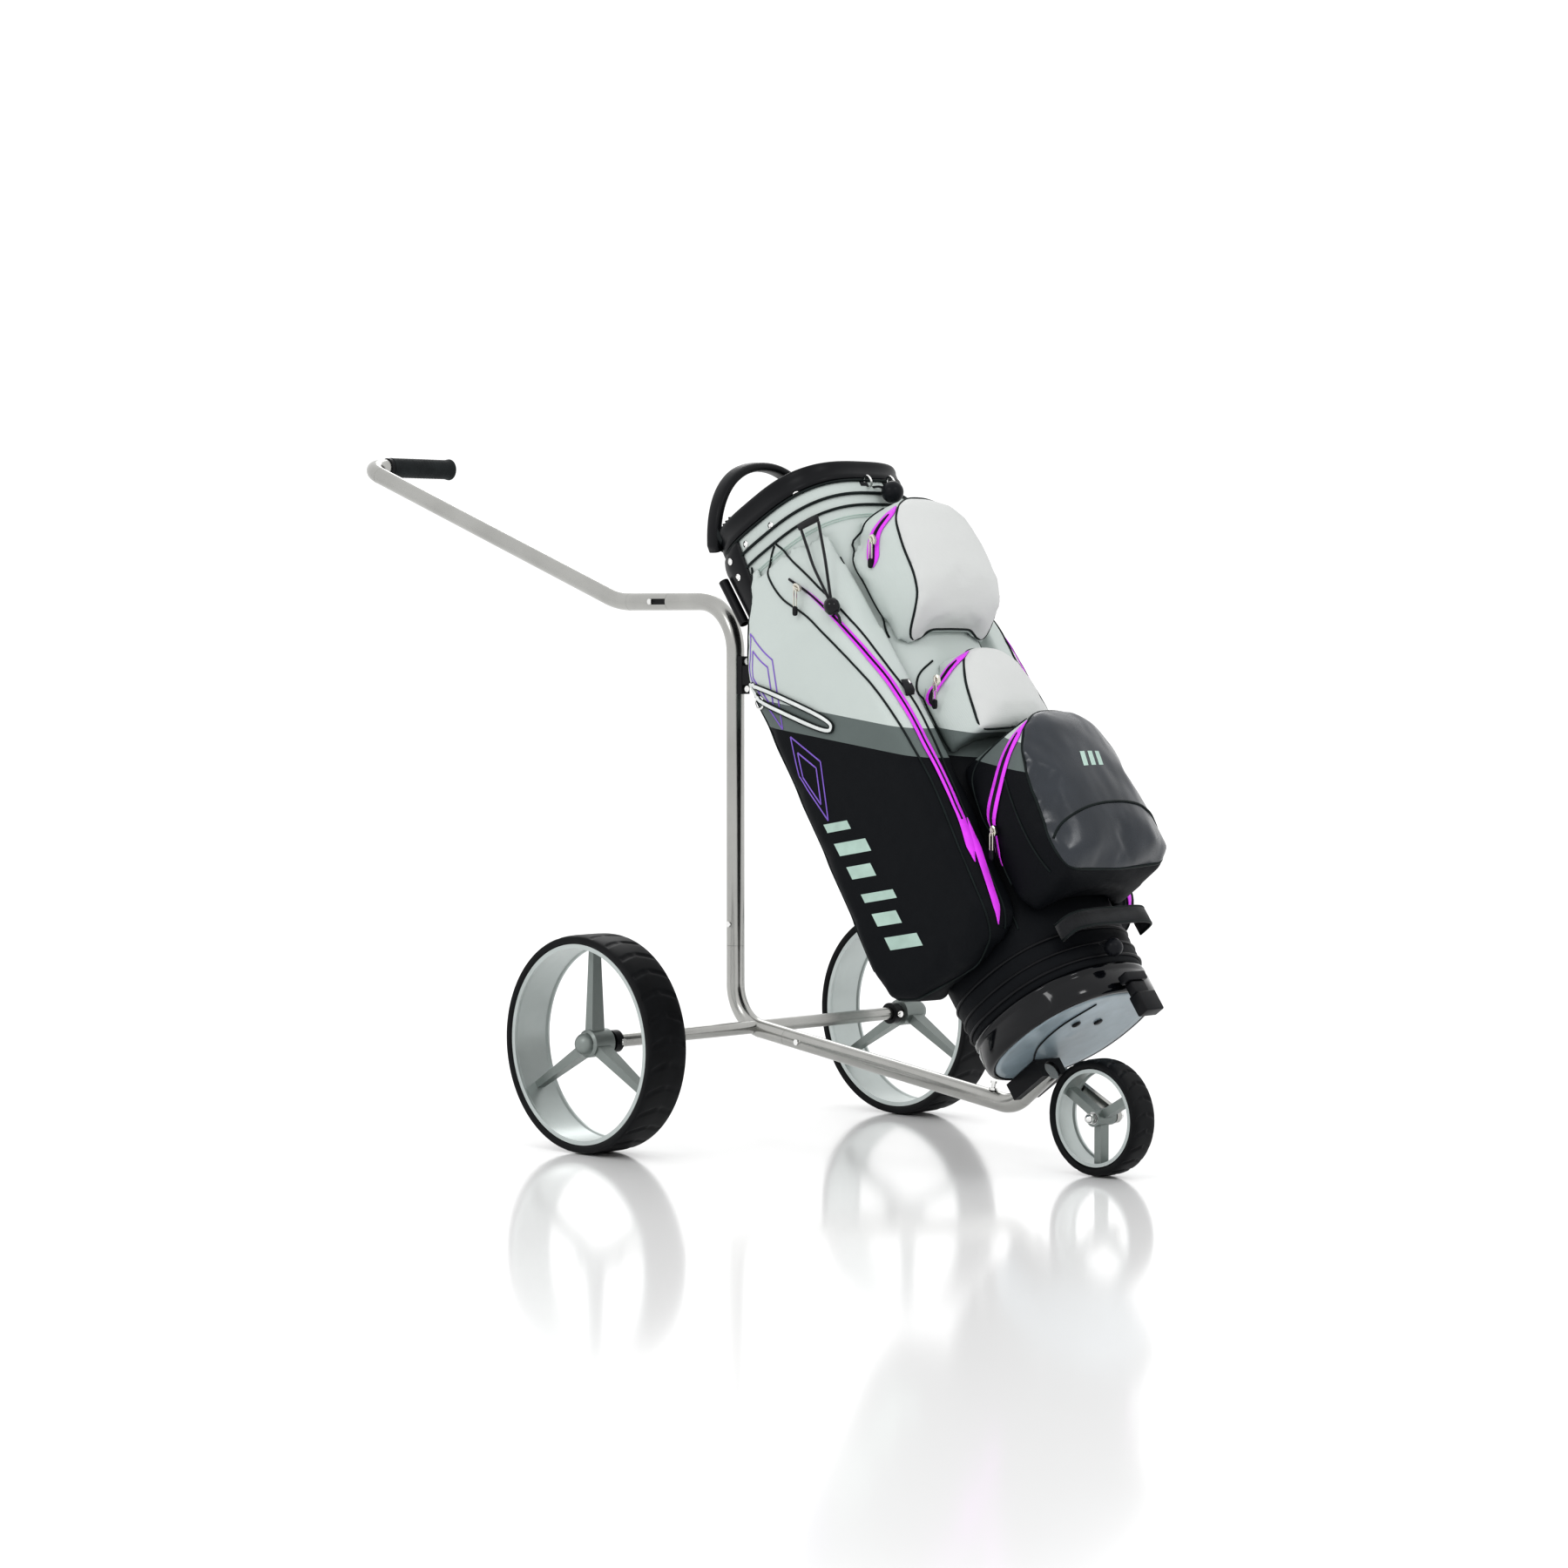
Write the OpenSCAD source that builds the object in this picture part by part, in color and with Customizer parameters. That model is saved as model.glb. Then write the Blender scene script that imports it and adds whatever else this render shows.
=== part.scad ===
// Golf bag standing on a three-wheeled push cart, in plug-together tube.
// +X points forward, +Y to the left-hand side, +Z up. Z = 0 is the ground and
// the origin lies under the middle of the overall length.

/* [Cart frame] */
// Diameter of the frame tube
tube_d = 25; // [22:0.5:28]
// Wall thickness of the frame tube
tube_wall = 1.5; // [1:0.1:2.5]
// Distance between the middle planes of the rear wheels
track = 600; // [500:10:700]
// Diameter of the cross axle tube
axle_tube_d = 18; // [16:0.5:22]
// Height of the level handle stub on top of the post
stub_z = 732; // [700:2:760]
// Slope of the handle tube
handle_slope = 19.6; // [15:0.2:24]
// Height of the grip centre line
grip_z = 941; // [900:1:980]

/* [Wheels] */
// Diameter of a rear wheel over its tyre
rear_d = 290; // [280:2:300]
// Width of a rear tyre
rear_w = 65.6; // [56:0.4:70]
// Diameter of the front wheel over its tyre
front_d = 149; // [140:1:156]
// Width of the front tyre
front_w = 40; // [34:1:46]
// Distance of the front wheel's axle ahead of the rear axle
wheelbase = 617; // [600:1:640]

/* [Bag] */
// How far the bag leans back from upright
bag_lean = 35.8; // [34:0.2:38]
// Half width of the bag at its base
base_half_w = 115; // [110:1:116]
// Half depth of the bag at its base
base_half_d = 112; // [108:1:114]
// Half width of the bag at its collar
top_half_w = 108; // [104:1:112]
// Half depth of the bag at its collar
top_half_d = 116; // [112:1:118]
// Length of the bag from base to the collar band, along its axis
bag_len = 811; // [800:1:820]
// How far the side pockets stand out from the middle plane
side_out = 150; // [144:1:156]

/* [Hidden] */

$fn = 64;
centre_x = -84.15;
gap = 0.3;
run_fit = 0.05;
elbow_swell = 0.1;
elbow_bite = 1;
tube_r = tube_d / 2;
bore_r = tube_r - tube_wall;

// Cart frame, in the X-Z plane
rear_r = rear_d / 2;
front_r = front_d / 2;
post_x = -44;
post_joint_z = 255;
post_foot_z = 149.5;
post_foot_bend = 60;
post_top_bend = 70;
stub_joint_x = -175;
stub_corner_x = -283;
stub_bend = 150;
grip_bend = 45;
grip_len = 120;
grip_r = 15;
front_slope = 7.8;
front_joint_x = 60;
front_joint_z = 135.2;
front_corner_x = 477.5;
front_rise = 38;
front_rise_len = 80;
front_bend = 48;
spigot_len = 100;
spigot_in = 45;
button_r = 4;
button_reach = 30;
button_proud = 2.5;

// Wheels
tyre_side = 11.6;
rim_t = 4.2;
hub_r = 18.5;
hub_in = 20;
hub_out = 16;
bearing_r = 11;
bearing_w = 7;
stub_r = 6;
stub_in = 95;
axle_end = 30;
front_y = 12;
front_bolt_r = 4;
fork_y = 36;

// Bag frame: local X points to the front of the bag, local Z runs up its axis
bag_x = 580;
bag_z = 176;
top_shift = 5;
base_n = 2.3;
top_n = 3;
skin = 3;
collar_tilt = 6.3;
collar_h = 32;
base_h = 40;
grid_t = 7;
grid_h = 26;
collar_t = 9;
well_pitch = (top_half_d - collar_t) / 2;

// ---------- helpers ----------

function unit(v) = v / norm(v);

// Closed outline between an ellipse and a rectangle
function rounded(a, b, n, count = 48) = [
  for (i = [0 : count - 1])
    let (t = 360 * i / count, c = cos(t), s = sin(t))
      [a * sign(c) * pow(abs(c), 2 / n), b * sign(s) * pow(abs(s), 2 / n)]
];

// Turns local Z to the direction d at the point p
module aim(p, d) {
  translate(p)
    rotate([0, acos(d[2] / norm(d)), atan2(d[1], d[0])])
      children();
}

module rod(p, q, r) {
  aim(p, q - p) cylinder(r = r, h = norm(q - p));
}

function turn_angle(a, b, c) = acos(unit(b - a) * unit(c - b));
function trim_len(a, b, c, bend) = bend * tan(turn_angle(a, b, c) / 2);

// Elbow of a round bar at the corner b, a hair thicker than the bar that ends in it
module elbow(a, b, c, bend, r) {
  u = unit(b - a);
  axis = unit(cross(u, unit(c - b)));
  n = cross(axis, u);
  m = b - trim_len(a, b, c, bend) * u + bend * n;
  multmatrix([
    [-n[0], u[0], axis[0], m[0]],
    [-n[1], u[1], axis[1], m[1]],
    [-n[2], u[2], axis[2], m[2]],
    [0, 0, 0, 1]
  ])
    rotate_extrude(angle = turn_angle(a, b, c)) translate([bend, 0]) circle(r = r + elbow_swell);
}

// Round bar along a path of points, with a bend radius at each inner point
module bent_bar(points, bends, r, over = 0) {
  last = len(points) - 1;
  trims = [
    for (i = [0 : last])
      i == 0 || i == last ? -over
        : trim_len(points[i - 1], points[i], points[i + 1], bends[i - 1]) - elbow_bite
  ];
  for (i = [0 : last - 1]) {
    u = unit(points[i + 1] - points[i]);
    rod(points[i] + trims[i] * u, points[i + 1] - trims[i + 1] * u, r);
  }
  for (i = [1 : last - 1])
    elbow(points[i - 1], points[i], points[i + 1], bends[i - 1], r);
}

module bent_tube(points, bends) {
  difference() {
    bent_bar(points, bends, tube_r);
    bent_bar(points, bends, bore_r, 1);
  }
}

// Ring between two radii
module ring(r_out, r_in, h) {
  difference() {
    cylinder(r = r_out, h = h);
    translate([0, 0, -1]) cylinder(r = r_in, h = h + 2);
  }
}

module hexagon_nut(flat_r, bore, h) {
  difference() {
    cylinder(r = flat_r, h = h, $fn = 6);
    translate([0, 0, -1]) cylinder(r = bore, h = h + 2);
  }
}

// ---------- cart frame ----------

front_dir = [cos(front_slope), 0, -sin(front_slope)];
front_joint = [front_joint_x, 0, front_joint_z];
front_corner = front_joint
  + front_dir * (front_corner_x - front_joint_x) / cos(front_slope);
rise_dir = [cos(front_rise), 0, sin(front_rise)];
front_end = front_corner + rise_dir * front_rise_len;
post_foot = front_joint - front_dir * (front_joint_x - post_x) / cos(front_slope);
handle_dir = [-cos(handle_slope), 0, sin(handle_slope)];
stub_corner = [stub_corner_x, 0, stub_z];
grip_corner = stub_corner + handle_dir * (grip_z - stub_z) / sin(handle_slope);
grip_dir = [0, 1, 0];
axle_z = rear_r;

module joint_frames() {
  // each frame has its origin at a tube joint and local Z along the tube
  aim([post_x, 0, post_joint_z], [0, 0, 1]) children(0);
  aim([stub_joint_x, 0, stub_z], [-1, 0, 0]) children(0);
  aim(front_joint, front_dir) children(0);
}

module button_hole() {
  translate([0, 0, button_reach])
    rotate([90, 0, 0])
      cylinder(r = button_r + run_fit, h = tube_r + 1);
}

// Far-side button hole of the handle joint
module far_button_hole() {
  mirror([0, 1, 0]) button_hole();
}

module axle_tube() {
  color("silver")
    difference() {
      rod([0, axle_end - track / 2, axle_z], [0, track / 2 - axle_end, axle_z], axle_tube_d / 2);
      rod([0, -track, axle_z], [0, track, axle_z], stub_r + run_fit);
    }
}

module lower_post() {
  color("silver")
    difference() {
      bent_tube([[post_x, 0, post_joint_z], post_foot, front_joint], [post_foot_bend]);
      rod([0, -tube_d, axle_z], [0, tube_d, axle_z], axle_tube_d / 2 + run_fit);
    }
}

module upper_post() {
  color("silver")
    difference() {
      bent_tube(
        [[post_x, 0, post_joint_z + gap], [post_x, 0, stub_z], [stub_joint_x, 0, stub_z]],
        [post_top_bend]
      );
      aim([post_x, 0, post_joint_z], [0, 0, 1]) button_hole();
      bracket_screw_rods(screw_r + run_fit);
    }
}

module spigot() {
  translate([0, 0, -spigot_in])
    ring(bore_r - run_fit, bore_r - 3, spigot_len);
}

module joint_spigots() {
  color("dimgray") {
    difference() {
      aim([post_x, 0, post_joint_z], [0, 0, 1]) spigot();
      aim([post_x, 0, post_joint_z], [0, 0, 1]) button_hole();
    }
    difference() {
      aim([stub_joint_x, 0, stub_z], [-1, 0, 0]) spigot();
      aim([stub_joint_x, 0, stub_z], [-1, 0, 0]) far_button_hole();
    }
    difference() {
      aim(front_joint, front_dir) spigot();
      aim(front_joint, front_dir) button_hole();
    }
  }
}

// Snap button with the leaf spring that carries it inside the spigot
module snap_button() {
  leaf_w = 5;
  leaf_t = 0.8;
  leaf_len = 24;
  leaf_y = bore_r - 5.5;
  translate([0, 0, button_reach]) {
    rotate([90, 0, 0]) translate([0, 0, leaf_y])
      cylinder(r = button_r, h = tube_r + button_proud - leaf_y);
    translate([-leaf_w / 2, -leaf_y - leaf_t / 2, -leaf_len])
      cube([leaf_w, leaf_t, leaf_len]);
  }
}

module post_button() {
  color("gainsboro") aim([post_x, 0, post_joint_z], [0, 0, 1]) snap_button();
}

module handle_button() {
  color("gainsboro")
    aim([stub_joint_x, 0, stub_z], [-1, 0, 0]) mirror([0, 1, 0]) snap_button();
}

module front_button() {
  color("gainsboro") aim(front_joint, front_dir) snap_button();
}

bracket_z = 630;
bracket_h = 52;
bracket_w = 15;
bracket_t = 8;
screw_r = 2;
screw_rise = 19;
saddle_axis_len = 632;
saddle_e = -rear_reach(saddle_axis_len) - 0.6;
pad_t = 4;

// Rear surface of the bag body at the height s along its axis
function rear_reach(s) = base_half_d + (top_half_d - base_half_d - top_shift) * s / bag_len;

module bracket_screw_rods(r) {
  for (rise = [-screw_rise, screw_rise])
    rod(
      [post_x + bore_r - 2, 0, bracket_z + rise],
      [post_x + tube_r + bracket_t + 1, 0, bracket_z + rise],
      r
    );
}

// Block on the front of the post with an arm that reaches to the back of the bag
module bag_bracket() {
  arm_w = 14;
  arm_h = 26;
  color("black")
    difference() {
      union() {
        translate([post_x, -bracket_w / 2, bracket_z - bracket_h / 2])
          cube([tube_r + bracket_t, bracket_w, bracket_h]);
        translate([post_x + tube_r + 1, -arm_w / 2, bracket_z - arm_h / 2]) cube([135, arm_w, arm_h]);
      }
      translate([post_x, 0, bracket_z - bracket_h]) cylinder(r = tube_r + 0.02, h = 2 * bracket_h);
      bracket_screw_rods(screw_r + run_fit);
      in_bag() translate([saddle_e - pad_t - gap, -100, 0]) cube([300, 200, 900]);
    }
}

module bracket_screw() {
  head_r = 4.5;
  color("gainsboro") {
    bracket_screw_rods(screw_r);
    for (rise = [-screw_rise, screw_rise])
      translate([post_x + tube_r + bracket_t + 0.02, 0, bracket_z + rise])
        rotate([0, 90, 0]) cylinder(r = head_r, h = 2.4);
  }
}

module cradle_pad() {
  half_w = 62;
  pad_h = 60;
  color("black")
    in_bag()
      translate([saddle_e - pad_t, 0, saddle_axis_len])
        rotate([0, 90, 0])
          linear_extrude(pad_t)
            polygon(rounded(pad_h / 2, half_w, 5, 40));
}

module front_tube() {
  color("silver")
    difference() {
      bent_tube([front_joint + front_dir * gap, front_corner, front_end], [front_bend]);
      aim(front_joint, front_dir) button_hole();
    }
}

module tube_end_cap() {
  color("silver") {
    aim(front_end, rise_dir) cylinder(r = tube_r, h = 2);
    aim(front_end - rise_dir * 12, rise_dir) cylinder(r = bore_r - run_fit, h = 12);
  }
}

fork_root = front_end - rise_dir * 12;
fork_stub_r = 6.5;

module base_rest_pad() {
  // saddle block round the rising tube, with a flat top under the base plate
  length = 46;
  half_w = 24;
  color("black")
    difference() {
      in_bag()
        translate([-116, -half_w, -24]) cube([length + 14, 2 * half_w, 24 - gap]);
      rod(front_corner - rise_dir * 20, front_end + rise_dir * 40, tube_r + 0.02);
      rod(fork_root, fork_root + [0, 60, 0], fork_stub_r + gap);
      in_bag() translate([-200, -7, -80]) cube([300, 14, 60]);
    }
}

lug_x = 440;

module strap_lug() {
  base_r = 6;
  lug_base = front_joint + front_dir * (lug_x - front_joint_x) / cos(front_slope)
    + [sin(front_slope), 0, cos(front_slope)] * (tube_r + 0.1);
  color("gainsboro") aim(lug_base, [sin(front_slope), 0, cos(front_slope)]) {
    cylinder(r = base_r, h = 3);
    cylinder(r = 3, h = 9);
    translate([0, 0, 9]) cylinder(r = 5, h = 3);
  }
}

// ---------- rear wheels ----------

// Local Z points outboard along the axle; side is 1 on the left and -1 on the right
module at_hub(side) {
  translate([0, side * track / 2, axle_z]) rotate([-90 * side, 0, 0]) children();
}

module at_front_hub() {
  translate([wheelbase, front_y, front_r]) rotate([90, 0, 0]) children();
}

module tyre(r_out, side_wall, width, crown) {
  r_in = r_out - side_wall;
  half = width / 2;
  rotate_extrude($fn = 96)
    polygon([
      [r_in, -half + 2],
      [r_in + 3, -half],
      [r_out - crown * 0.7, -half],
      [r_out - crown * 0.2, -half * 0.78],
      [r_out, -half * 0.4],
      [r_out, half * 0.4],
      [r_out - crown * 0.2, half * 0.78],
      [r_out - crown * 0.7, half],
      [r_in + 3, half],
      [r_in, half - 2]
    ]);
}

module rim(r_out, thick, width) {
  lip = 1.6;
  half = width / 2;
  rotate_extrude($fn = 96)
    polygon([
      [r_out - thick - lip, -half],
      [r_out, -half],
      [r_out, half],
      [r_out - thick - lip, half],
      [r_out - thick - lip, half - 3],
      [r_out - thick, half - 6],
      [r_out - thick, 6 - half],
      [r_out - thick - lip, 3 - half]
    ]);
}

module spoke(r_from, r_to, w_in, w_out, d_in, d_out) {
  hull() {
    translate([r_from, 0, 0]) cube([0.2, w_in, d_in], center = true);
    translate([r_to - 0.1, 0, 0]) cube([0.2, w_out, d_out], center = true);
  }
}

module three_spokes(up, r_from, r_to, w_in, w_out, d_in, d_out) {
  for (k = [0 : 2])
    rotate([0, 0, up + 120 * k])
      spoke(r_from, r_to, w_in, w_out, d_in, d_out);
}

module rear_tyre(side) {
  color([0.05, 0.05, 0.05]) at_hub(side) tyre(rear_r, tyre_side, rear_w, 3.5);
}

module rear_rim(side) {
  color("silver") at_hub(side) rim(rear_r - tyre_side - 0.1, rim_t, rear_w - 4);
}

module rear_hub(side) {
  dome_r = 15;
  rim_in = rear_r - tyre_side - 0.1 - rim_t;
  color("darkgray") at_hub(side)
    difference() {
      union() {
        translate([0, 0, -hub_in]) cylinder(r = hub_r, h = hub_in + hub_out - 3);
        translate([0, 0, hub_out - 3]) cylinder(r1 = hub_r, r2 = dome_r, h = 3, $fn = 64);
        translate([0, 0, hub_out]) sphere(r = dome_r);
        three_spokes(-90 * side, hub_r - 4, rim_in - 0.1, 14, 9, 22, 13);
      }
      translate([0, 0, -hub_in - 1]) cylinder(r = bearing_r, h = hub_in + 11);
    }
}

module rear_bearings(side) {
  color("gainsboro") at_hub(side) {
    translate([0, 0, -hub_in + 1]) ring(bearing_r - 0.02, stub_r + run_fit, bearing_w);
    translate([0, 0, 2.5]) ring(bearing_r - 0.02, stub_r + run_fit, bearing_w);
  }
}

module stub_axle(side) {
  color("gainsboro") at_hub(side) {
    translate([0, 0, -stub_in]) cylinder(r = stub_r, h = stub_in + 9);
    translate([0, 0, -hub_in - 4]) cylinder(r = stub_r + 3, h = 3.5);
  }
}

collar_r = 15;
collar_w = 12;
pin_r = 3;

module axle_collars() {
  color("black")
    for (side = [-1, 1])
      at_hub(side)
        difference() {
          translate([0, 0, -axle_end - collar_w + 3]) cylinder(r = collar_r, h = collar_w);
          translate([0, 0, -60]) cylinder(r = axle_tube_d / 2 + 0.02, h = 30);
          translate([0, 0, -40]) cylinder(r = stub_r + 3.4, h = 30);
          release_pin_shape(-1, pin_r + run_fit, 1);
        }
}

// Radial pin seat, turned to the front of the cart on both sides
module release_pin_shape(from, r, extra) {
  translate([0, 0, -axle_end - 5])
    rotate([0, 90, 0])
      translate([0, 0, axle_tube_d / 2 + 0.5 + from])
        cylinder(r = r, h = 9 + 2 * extra);
}

module release_pin(side) {
  color("gainsboro") at_hub(side) {
    release_pin_shape(2.6, pin_r, 0);
    translate([0, 0, -axle_end - 5]) rotate([0, 90, 0])
      translate([0, 0, collar_r + 2.8]) cylinder(r = pin_r + 1.5, h = 2);
  }
}

// ---------- front wheel ----------

front_side = 12;

module front_tyre() {
  color([0.05, 0.05, 0.05]) at_front_hub() tyre(front_r, front_side, front_w, 6);
}

module front_rim() {
  color("silver") at_front_hub() rim(front_r - front_side - 0.1, 3, front_w - 5);
}

module front_hub() {
  rim_in = front_r - front_side - 3.1;
  color("darkgray") at_front_hub()
    difference() {
      union() {
        translate([0, 0, -17]) cylinder(r = 11, h = 34);
        three_spokes(-90, 8, rim_in - 0.35, 11, 11, 15, 15);
      }
      translate([0, 0, -18]) cylinder(r = 8, h = 36);
    }
}

module front_bearings() {
  color("gainsboro") at_front_hub()
    for (z = [-16.5, 11.5])
      translate([0, 0, z]) ring(8 - 0.02, front_bolt_r + run_fit, 5);
}

module front_axle() {
  color("gainsboro") at_front_hub()
    translate([0, 0, -36]) cylinder(r = front_bolt_r, h = 58);
}

module front_axle_nuts() {
  nut_r = 7;
  color("white") at_front_hub() {
    difference() {
      union() {
        translate([0, 0, 17.5]) cylinder(r = nut_r, h = 6, $fn = 6);
        translate([0, 0, 23.5]) sphere(r = nut_r - 1.2);
      }
      translate([0, 0, 10]) cylinder(r = front_bolt_r + 0.02, h = 12.2);
    }
    translate([0, 0, -36]) hexagon_nut(nut_r, front_bolt_r + 0.02, 3.7);
  }
}

// Outline round two circles, as a closed list of points
function link_outline(p, q, rp, rq, count = 20) =
  let (turn = atan2(q[1] - p[1], q[0] - p[0]))
    concat(
      [for (i = [0 : count]) let (a = turn + 90 + 180 * i / count) p + rp * [cos(a), sin(a)]],
      [for (i = [0 : count]) let (a = turn - 90 + 180 * i / count) q + rq * [cos(a), sin(a)]]
    );

module fork_arm() {
  arm_t = 8;
  inner_y = fork_y - arm_t / 2;
  color("silver")
    difference() {
      union() {
        translate([0, inner_y + arm_t, 0]) rotate([90, 0, 0])
          linear_extrude(arm_t)
            polygon(link_outline([fork_root[0], fork_root[2]], [wheelbase, front_r], 8.5, 10));
        rod(fork_root + [0, 6, 0], fork_root + [0, inner_y + 3, 0], fork_stub_r);
      }
      rod(front_corner, front_end + rise_dir * 30, tube_r + 0.02);
      rod([wheelbase, 0, front_r], [wheelbase, 60, front_r], front_bolt_r + 0.02);
    }
}

// ---------- handle ----------

grip_start = grip_corner + grip_dir * grip_bend;

module handle_tube() {
  color("silver")
    difference() {
      bent_tube(
        [[stub_joint_x - gap, 0, stub_z], stub_corner, grip_corner, grip_start + grip_dir * 90],
        [stub_bend, grip_bend]
      );
      aim([stub_joint_x, 0, stub_z], [-1, 0, 0]) far_button_hole();
      aim([stub_joint_x, 0, stub_z], [-1, 0, 0]) button_slot();
    }
}

// Slot open at the tube's end, so that the handle slides on over the snap button
module button_slot() {
  slot_r = button_r + run_fit;
  translate([-slot_r, 0, -1]) cube([2 * slot_r, tube_r + 1, button_reach + 1]);
}

module handle_collar() {
  color("black") aim(grip_start + grip_dir, grip_dir) ring(tube_r + 2, tube_r + 0.05, 6);
}

module grip() {
  flare = 1.6;
  color([0.08, 0.08, 0.08]) aim(grip_start + grip_dir * 7.2, grip_dir)
    difference() {
      union() {
        cylinder(r = grip_r, h = grip_len);
        translate([0, 0, grip_len - 8]) cylinder(r = grip_r + flare, h = 8);
      }
      translate([0, 0, -1]) cylinder(r = tube_r + 0.05, h = 85);
    }
}

// ---------- bag ----------

module in_bag() {
  translate([bag_x, 0, bag_z]) rotate([0, -bag_lean, 0]) children();
}

// Solid skin over two rings of points, each ring a closed outline of the same count
module loft(lower, upper) {
  n = len(lower);
  sides = [
    for (i = [0 : n - 1], half = [0, 1])
      let (k = (i + 1) % n)
        half == 0 ? [i, i + n, k + n] : [i, k + n, k]
  ];
  bottom = [for (i = [0 : n - 1]) i];
  lid = [for (i = [n - 1 : -1 : 0]) i + n];
  polyhedron(concat(lower, upper), concat([bottom], sides, [lid]), convexity = 4);
}

// Outline of the body at the height s along its axis, grown by the amount grow
function body_ring(s, grow) =
  let (
    k = s / bag_len,
    flat = rounded(
      base_half_d + (top_half_d - base_half_d) * k + grow,
      base_half_w + (top_half_w - base_half_w) * k + grow,
      base_n + (top_n - base_n) * k
    )
  )
    [for (p = flat) [p[0] + top_shift * k, p[1], s]];

// Outer form of the body, grown by the amount grow
module body_form(grow, s_from, s_to) {
  loft(body_ring(s_from, grow), body_ring(s_to, grow));
}

module bag_body() {
  color([0.8, 0.84, 0.82]) in_bag()
    difference() {
      body_form(0, base_h + gap, bag_len + 20);
      body_form(-skin, base_h, bag_len + 21);
      collar_cut() translate([-300, -300, -gap]) cube([600, 600, 200]);
    }
}

// Plane of the collar's lower edge, tilted so that the rear is higher
module collar_cut() {
  translate([top_shift, 0, bag_len]) rotate([0, collar_tilt, 0]) children();
}

module collar_ring() {
  color([0.07, 0.07, 0.08]) in_bag() collar_cut()
    difference() {
      linear_extrude(collar_h) polygon(rounded(top_half_d + 1, top_half_w + 1, top_n));
      translate([0, 0, -1])
        linear_extrude(collar_h + 2) polygon(rounded(top_half_d - collar_t, top_half_w - collar_t, top_n));
    }
}

// Bars across the mouth: three long ones and ten short ones make fourteen wells
module divider_grid() {
  splits = [[-33, 33], [-50, 0, 50], [-50, 0, 50], [-33, 33]];
  color([0.1, 0.1, 0.11]) in_bag() collar_cut()
    translate([0, 0, 4])
      intersection() {
        linear_extrude(grid_h)
          polygon(rounded(top_half_d - collar_t - gap, top_half_w - collar_t - gap, top_n));
        union() {
          for (k = [-1 : 1])
            translate([k * well_pitch - grid_t / 2, -150, -1]) cube([grid_t, 300, 60]);
          for (row = [0 : 3])
            for (y = splits[row])
              translate([(row - 2) * well_pitch + grid_t / 2 + gap, y - grid_t / 2, -1])
                cube([well_pitch - grid_t - 2 * gap, grid_t, 60]);
        }
      }
}

// Full-length cloth dividers that hang from the three long bars
module divider_panels() {
  half_w = 86;
  panel_t = 1.5;
  foot_s = 60;
  color([0.12, 0.12, 0.13]) in_bag()
    for (k = [-1 : 1])
      translate([top_shift + k * well_pitch - panel_t / 2, -half_w, foot_s])
        cube([panel_t, 2 * half_w, bag_len - foot_s - 8]);
}

// Outer form of the collar above its lower edge
module collar_form(grow, h) {
  collar_cut() translate([0, 0, -gap])
    linear_extrude(h) polygon(rounded(top_half_d + 1 + grow, top_half_w + 1 + grow, top_n));
}

// Bail over the rear of the collar, upright when the bag leans, with its rear panel
module grab_handle() {
  bar_t = 16;
  bar_w = 20;
  half_w = 97;
  arch_h = 104;
  panel_t = 9;
  panel_foot = 722;
  panel_front = -58;
  color([0.06, 0.06, 0.07]) in_bag()
    difference() {
      union() {
        translate([-85, 0, 850]) rotate([0, bag_lean, 0])
          rotate([90, 0, 90])
            linear_extrude(bar_w, center = true)
              difference() {
                handle_outline(half_w, arch_h);
                handle_outline(half_w - bar_t, arch_h - bar_t);
              }
        difference() {
          body_form(panel_t, panel_foot, bag_len + 56);
          translate([panel_front, -200, 0]) cube([400, 400, 1000]);
        }
      }
      body_form(gap, panel_foot - 10, bag_len + 20);
      collar_form(gap, collar_h + 2 * gap);
      collar_cut() translate([-200, -half_w + bar_t, collar_h]) cube([400, 2 * (half_w - bar_t), 40]);
    }
}

module handle_outline(half, height) {
  intersection() {
    polygon(rounded(half, height, 2.4));
    translate([-half - 1, 0]) square([2 * half + 2, height + 1]);
  }
}

module sleeve_tube() {
  sleeve_len = 70;
  color([0.08, 0.08, 0.09]) in_bag()
    translate([-101, -98, 720]) ring(7, 5.2, sleeve_len);
}

module base_moulding() {
  color([0.03, 0.03, 0.03]) in_bag()
    difference() {
      linear_extrude(base_h) polygon(rounded(base_half_d + 1, base_half_w + 1, base_n));
      translate([0, 0, 6]) linear_extrude(base_h) polygon(rounded(base_half_d - 5, base_half_w - 5, base_n));
      translate([0, 0, -1]) linear_extrude(3) polygon(rounded(base_half_d - 8, base_half_w - 8, base_n));
    }
}

module base_plate() {
  color([0.6, 0.65, 0.68]) in_bag()
      linear_extrude(1.9) polygon(rounded(base_half_d - 9, base_half_w - 9, base_n));
}

// Pocket between an outer outline and a wider root, cut back to the body
module pocket_body() {
  difference() {
    children();
    body_form(gap, base_h - 20, bag_len + 20);
  }
}

// Outlines of a side pocket in the (front, up) plane: root at the body, neck, belly and face
side_root = [
  [-98, 600], [-112, 300], [-118, 185], [-108, 128], [-80, 108], [14, 97], [62, 108], [90, 140],
  [108, 300], [112, 450], [108, 640], [98, 735], [60, 756], [-40, 760], [-76, 744]
];
side_belly = [
  [-108, 596], [-126, 300], [-133, 185], [-124, 134], [-90, 112], [14, 102], [60, 114],
  [86, 144], [102, 300], [106, 420], [100, 560], [84, 650], [40, 690], [-60, 680]
];
side_face = [
  [-106, 570], [-123, 300], [-130, 190], [-121, 142], [-88, 120], [12, 112], [54, 126],
  [76, 152], [90, 300], [95, 400], [88, 520], [66, 600], [0, 632], [-97, 626]
];
side_neck = [[-40, 768], [14, 765], [58, 738], [60, 700], [-66, 690]];

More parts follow.
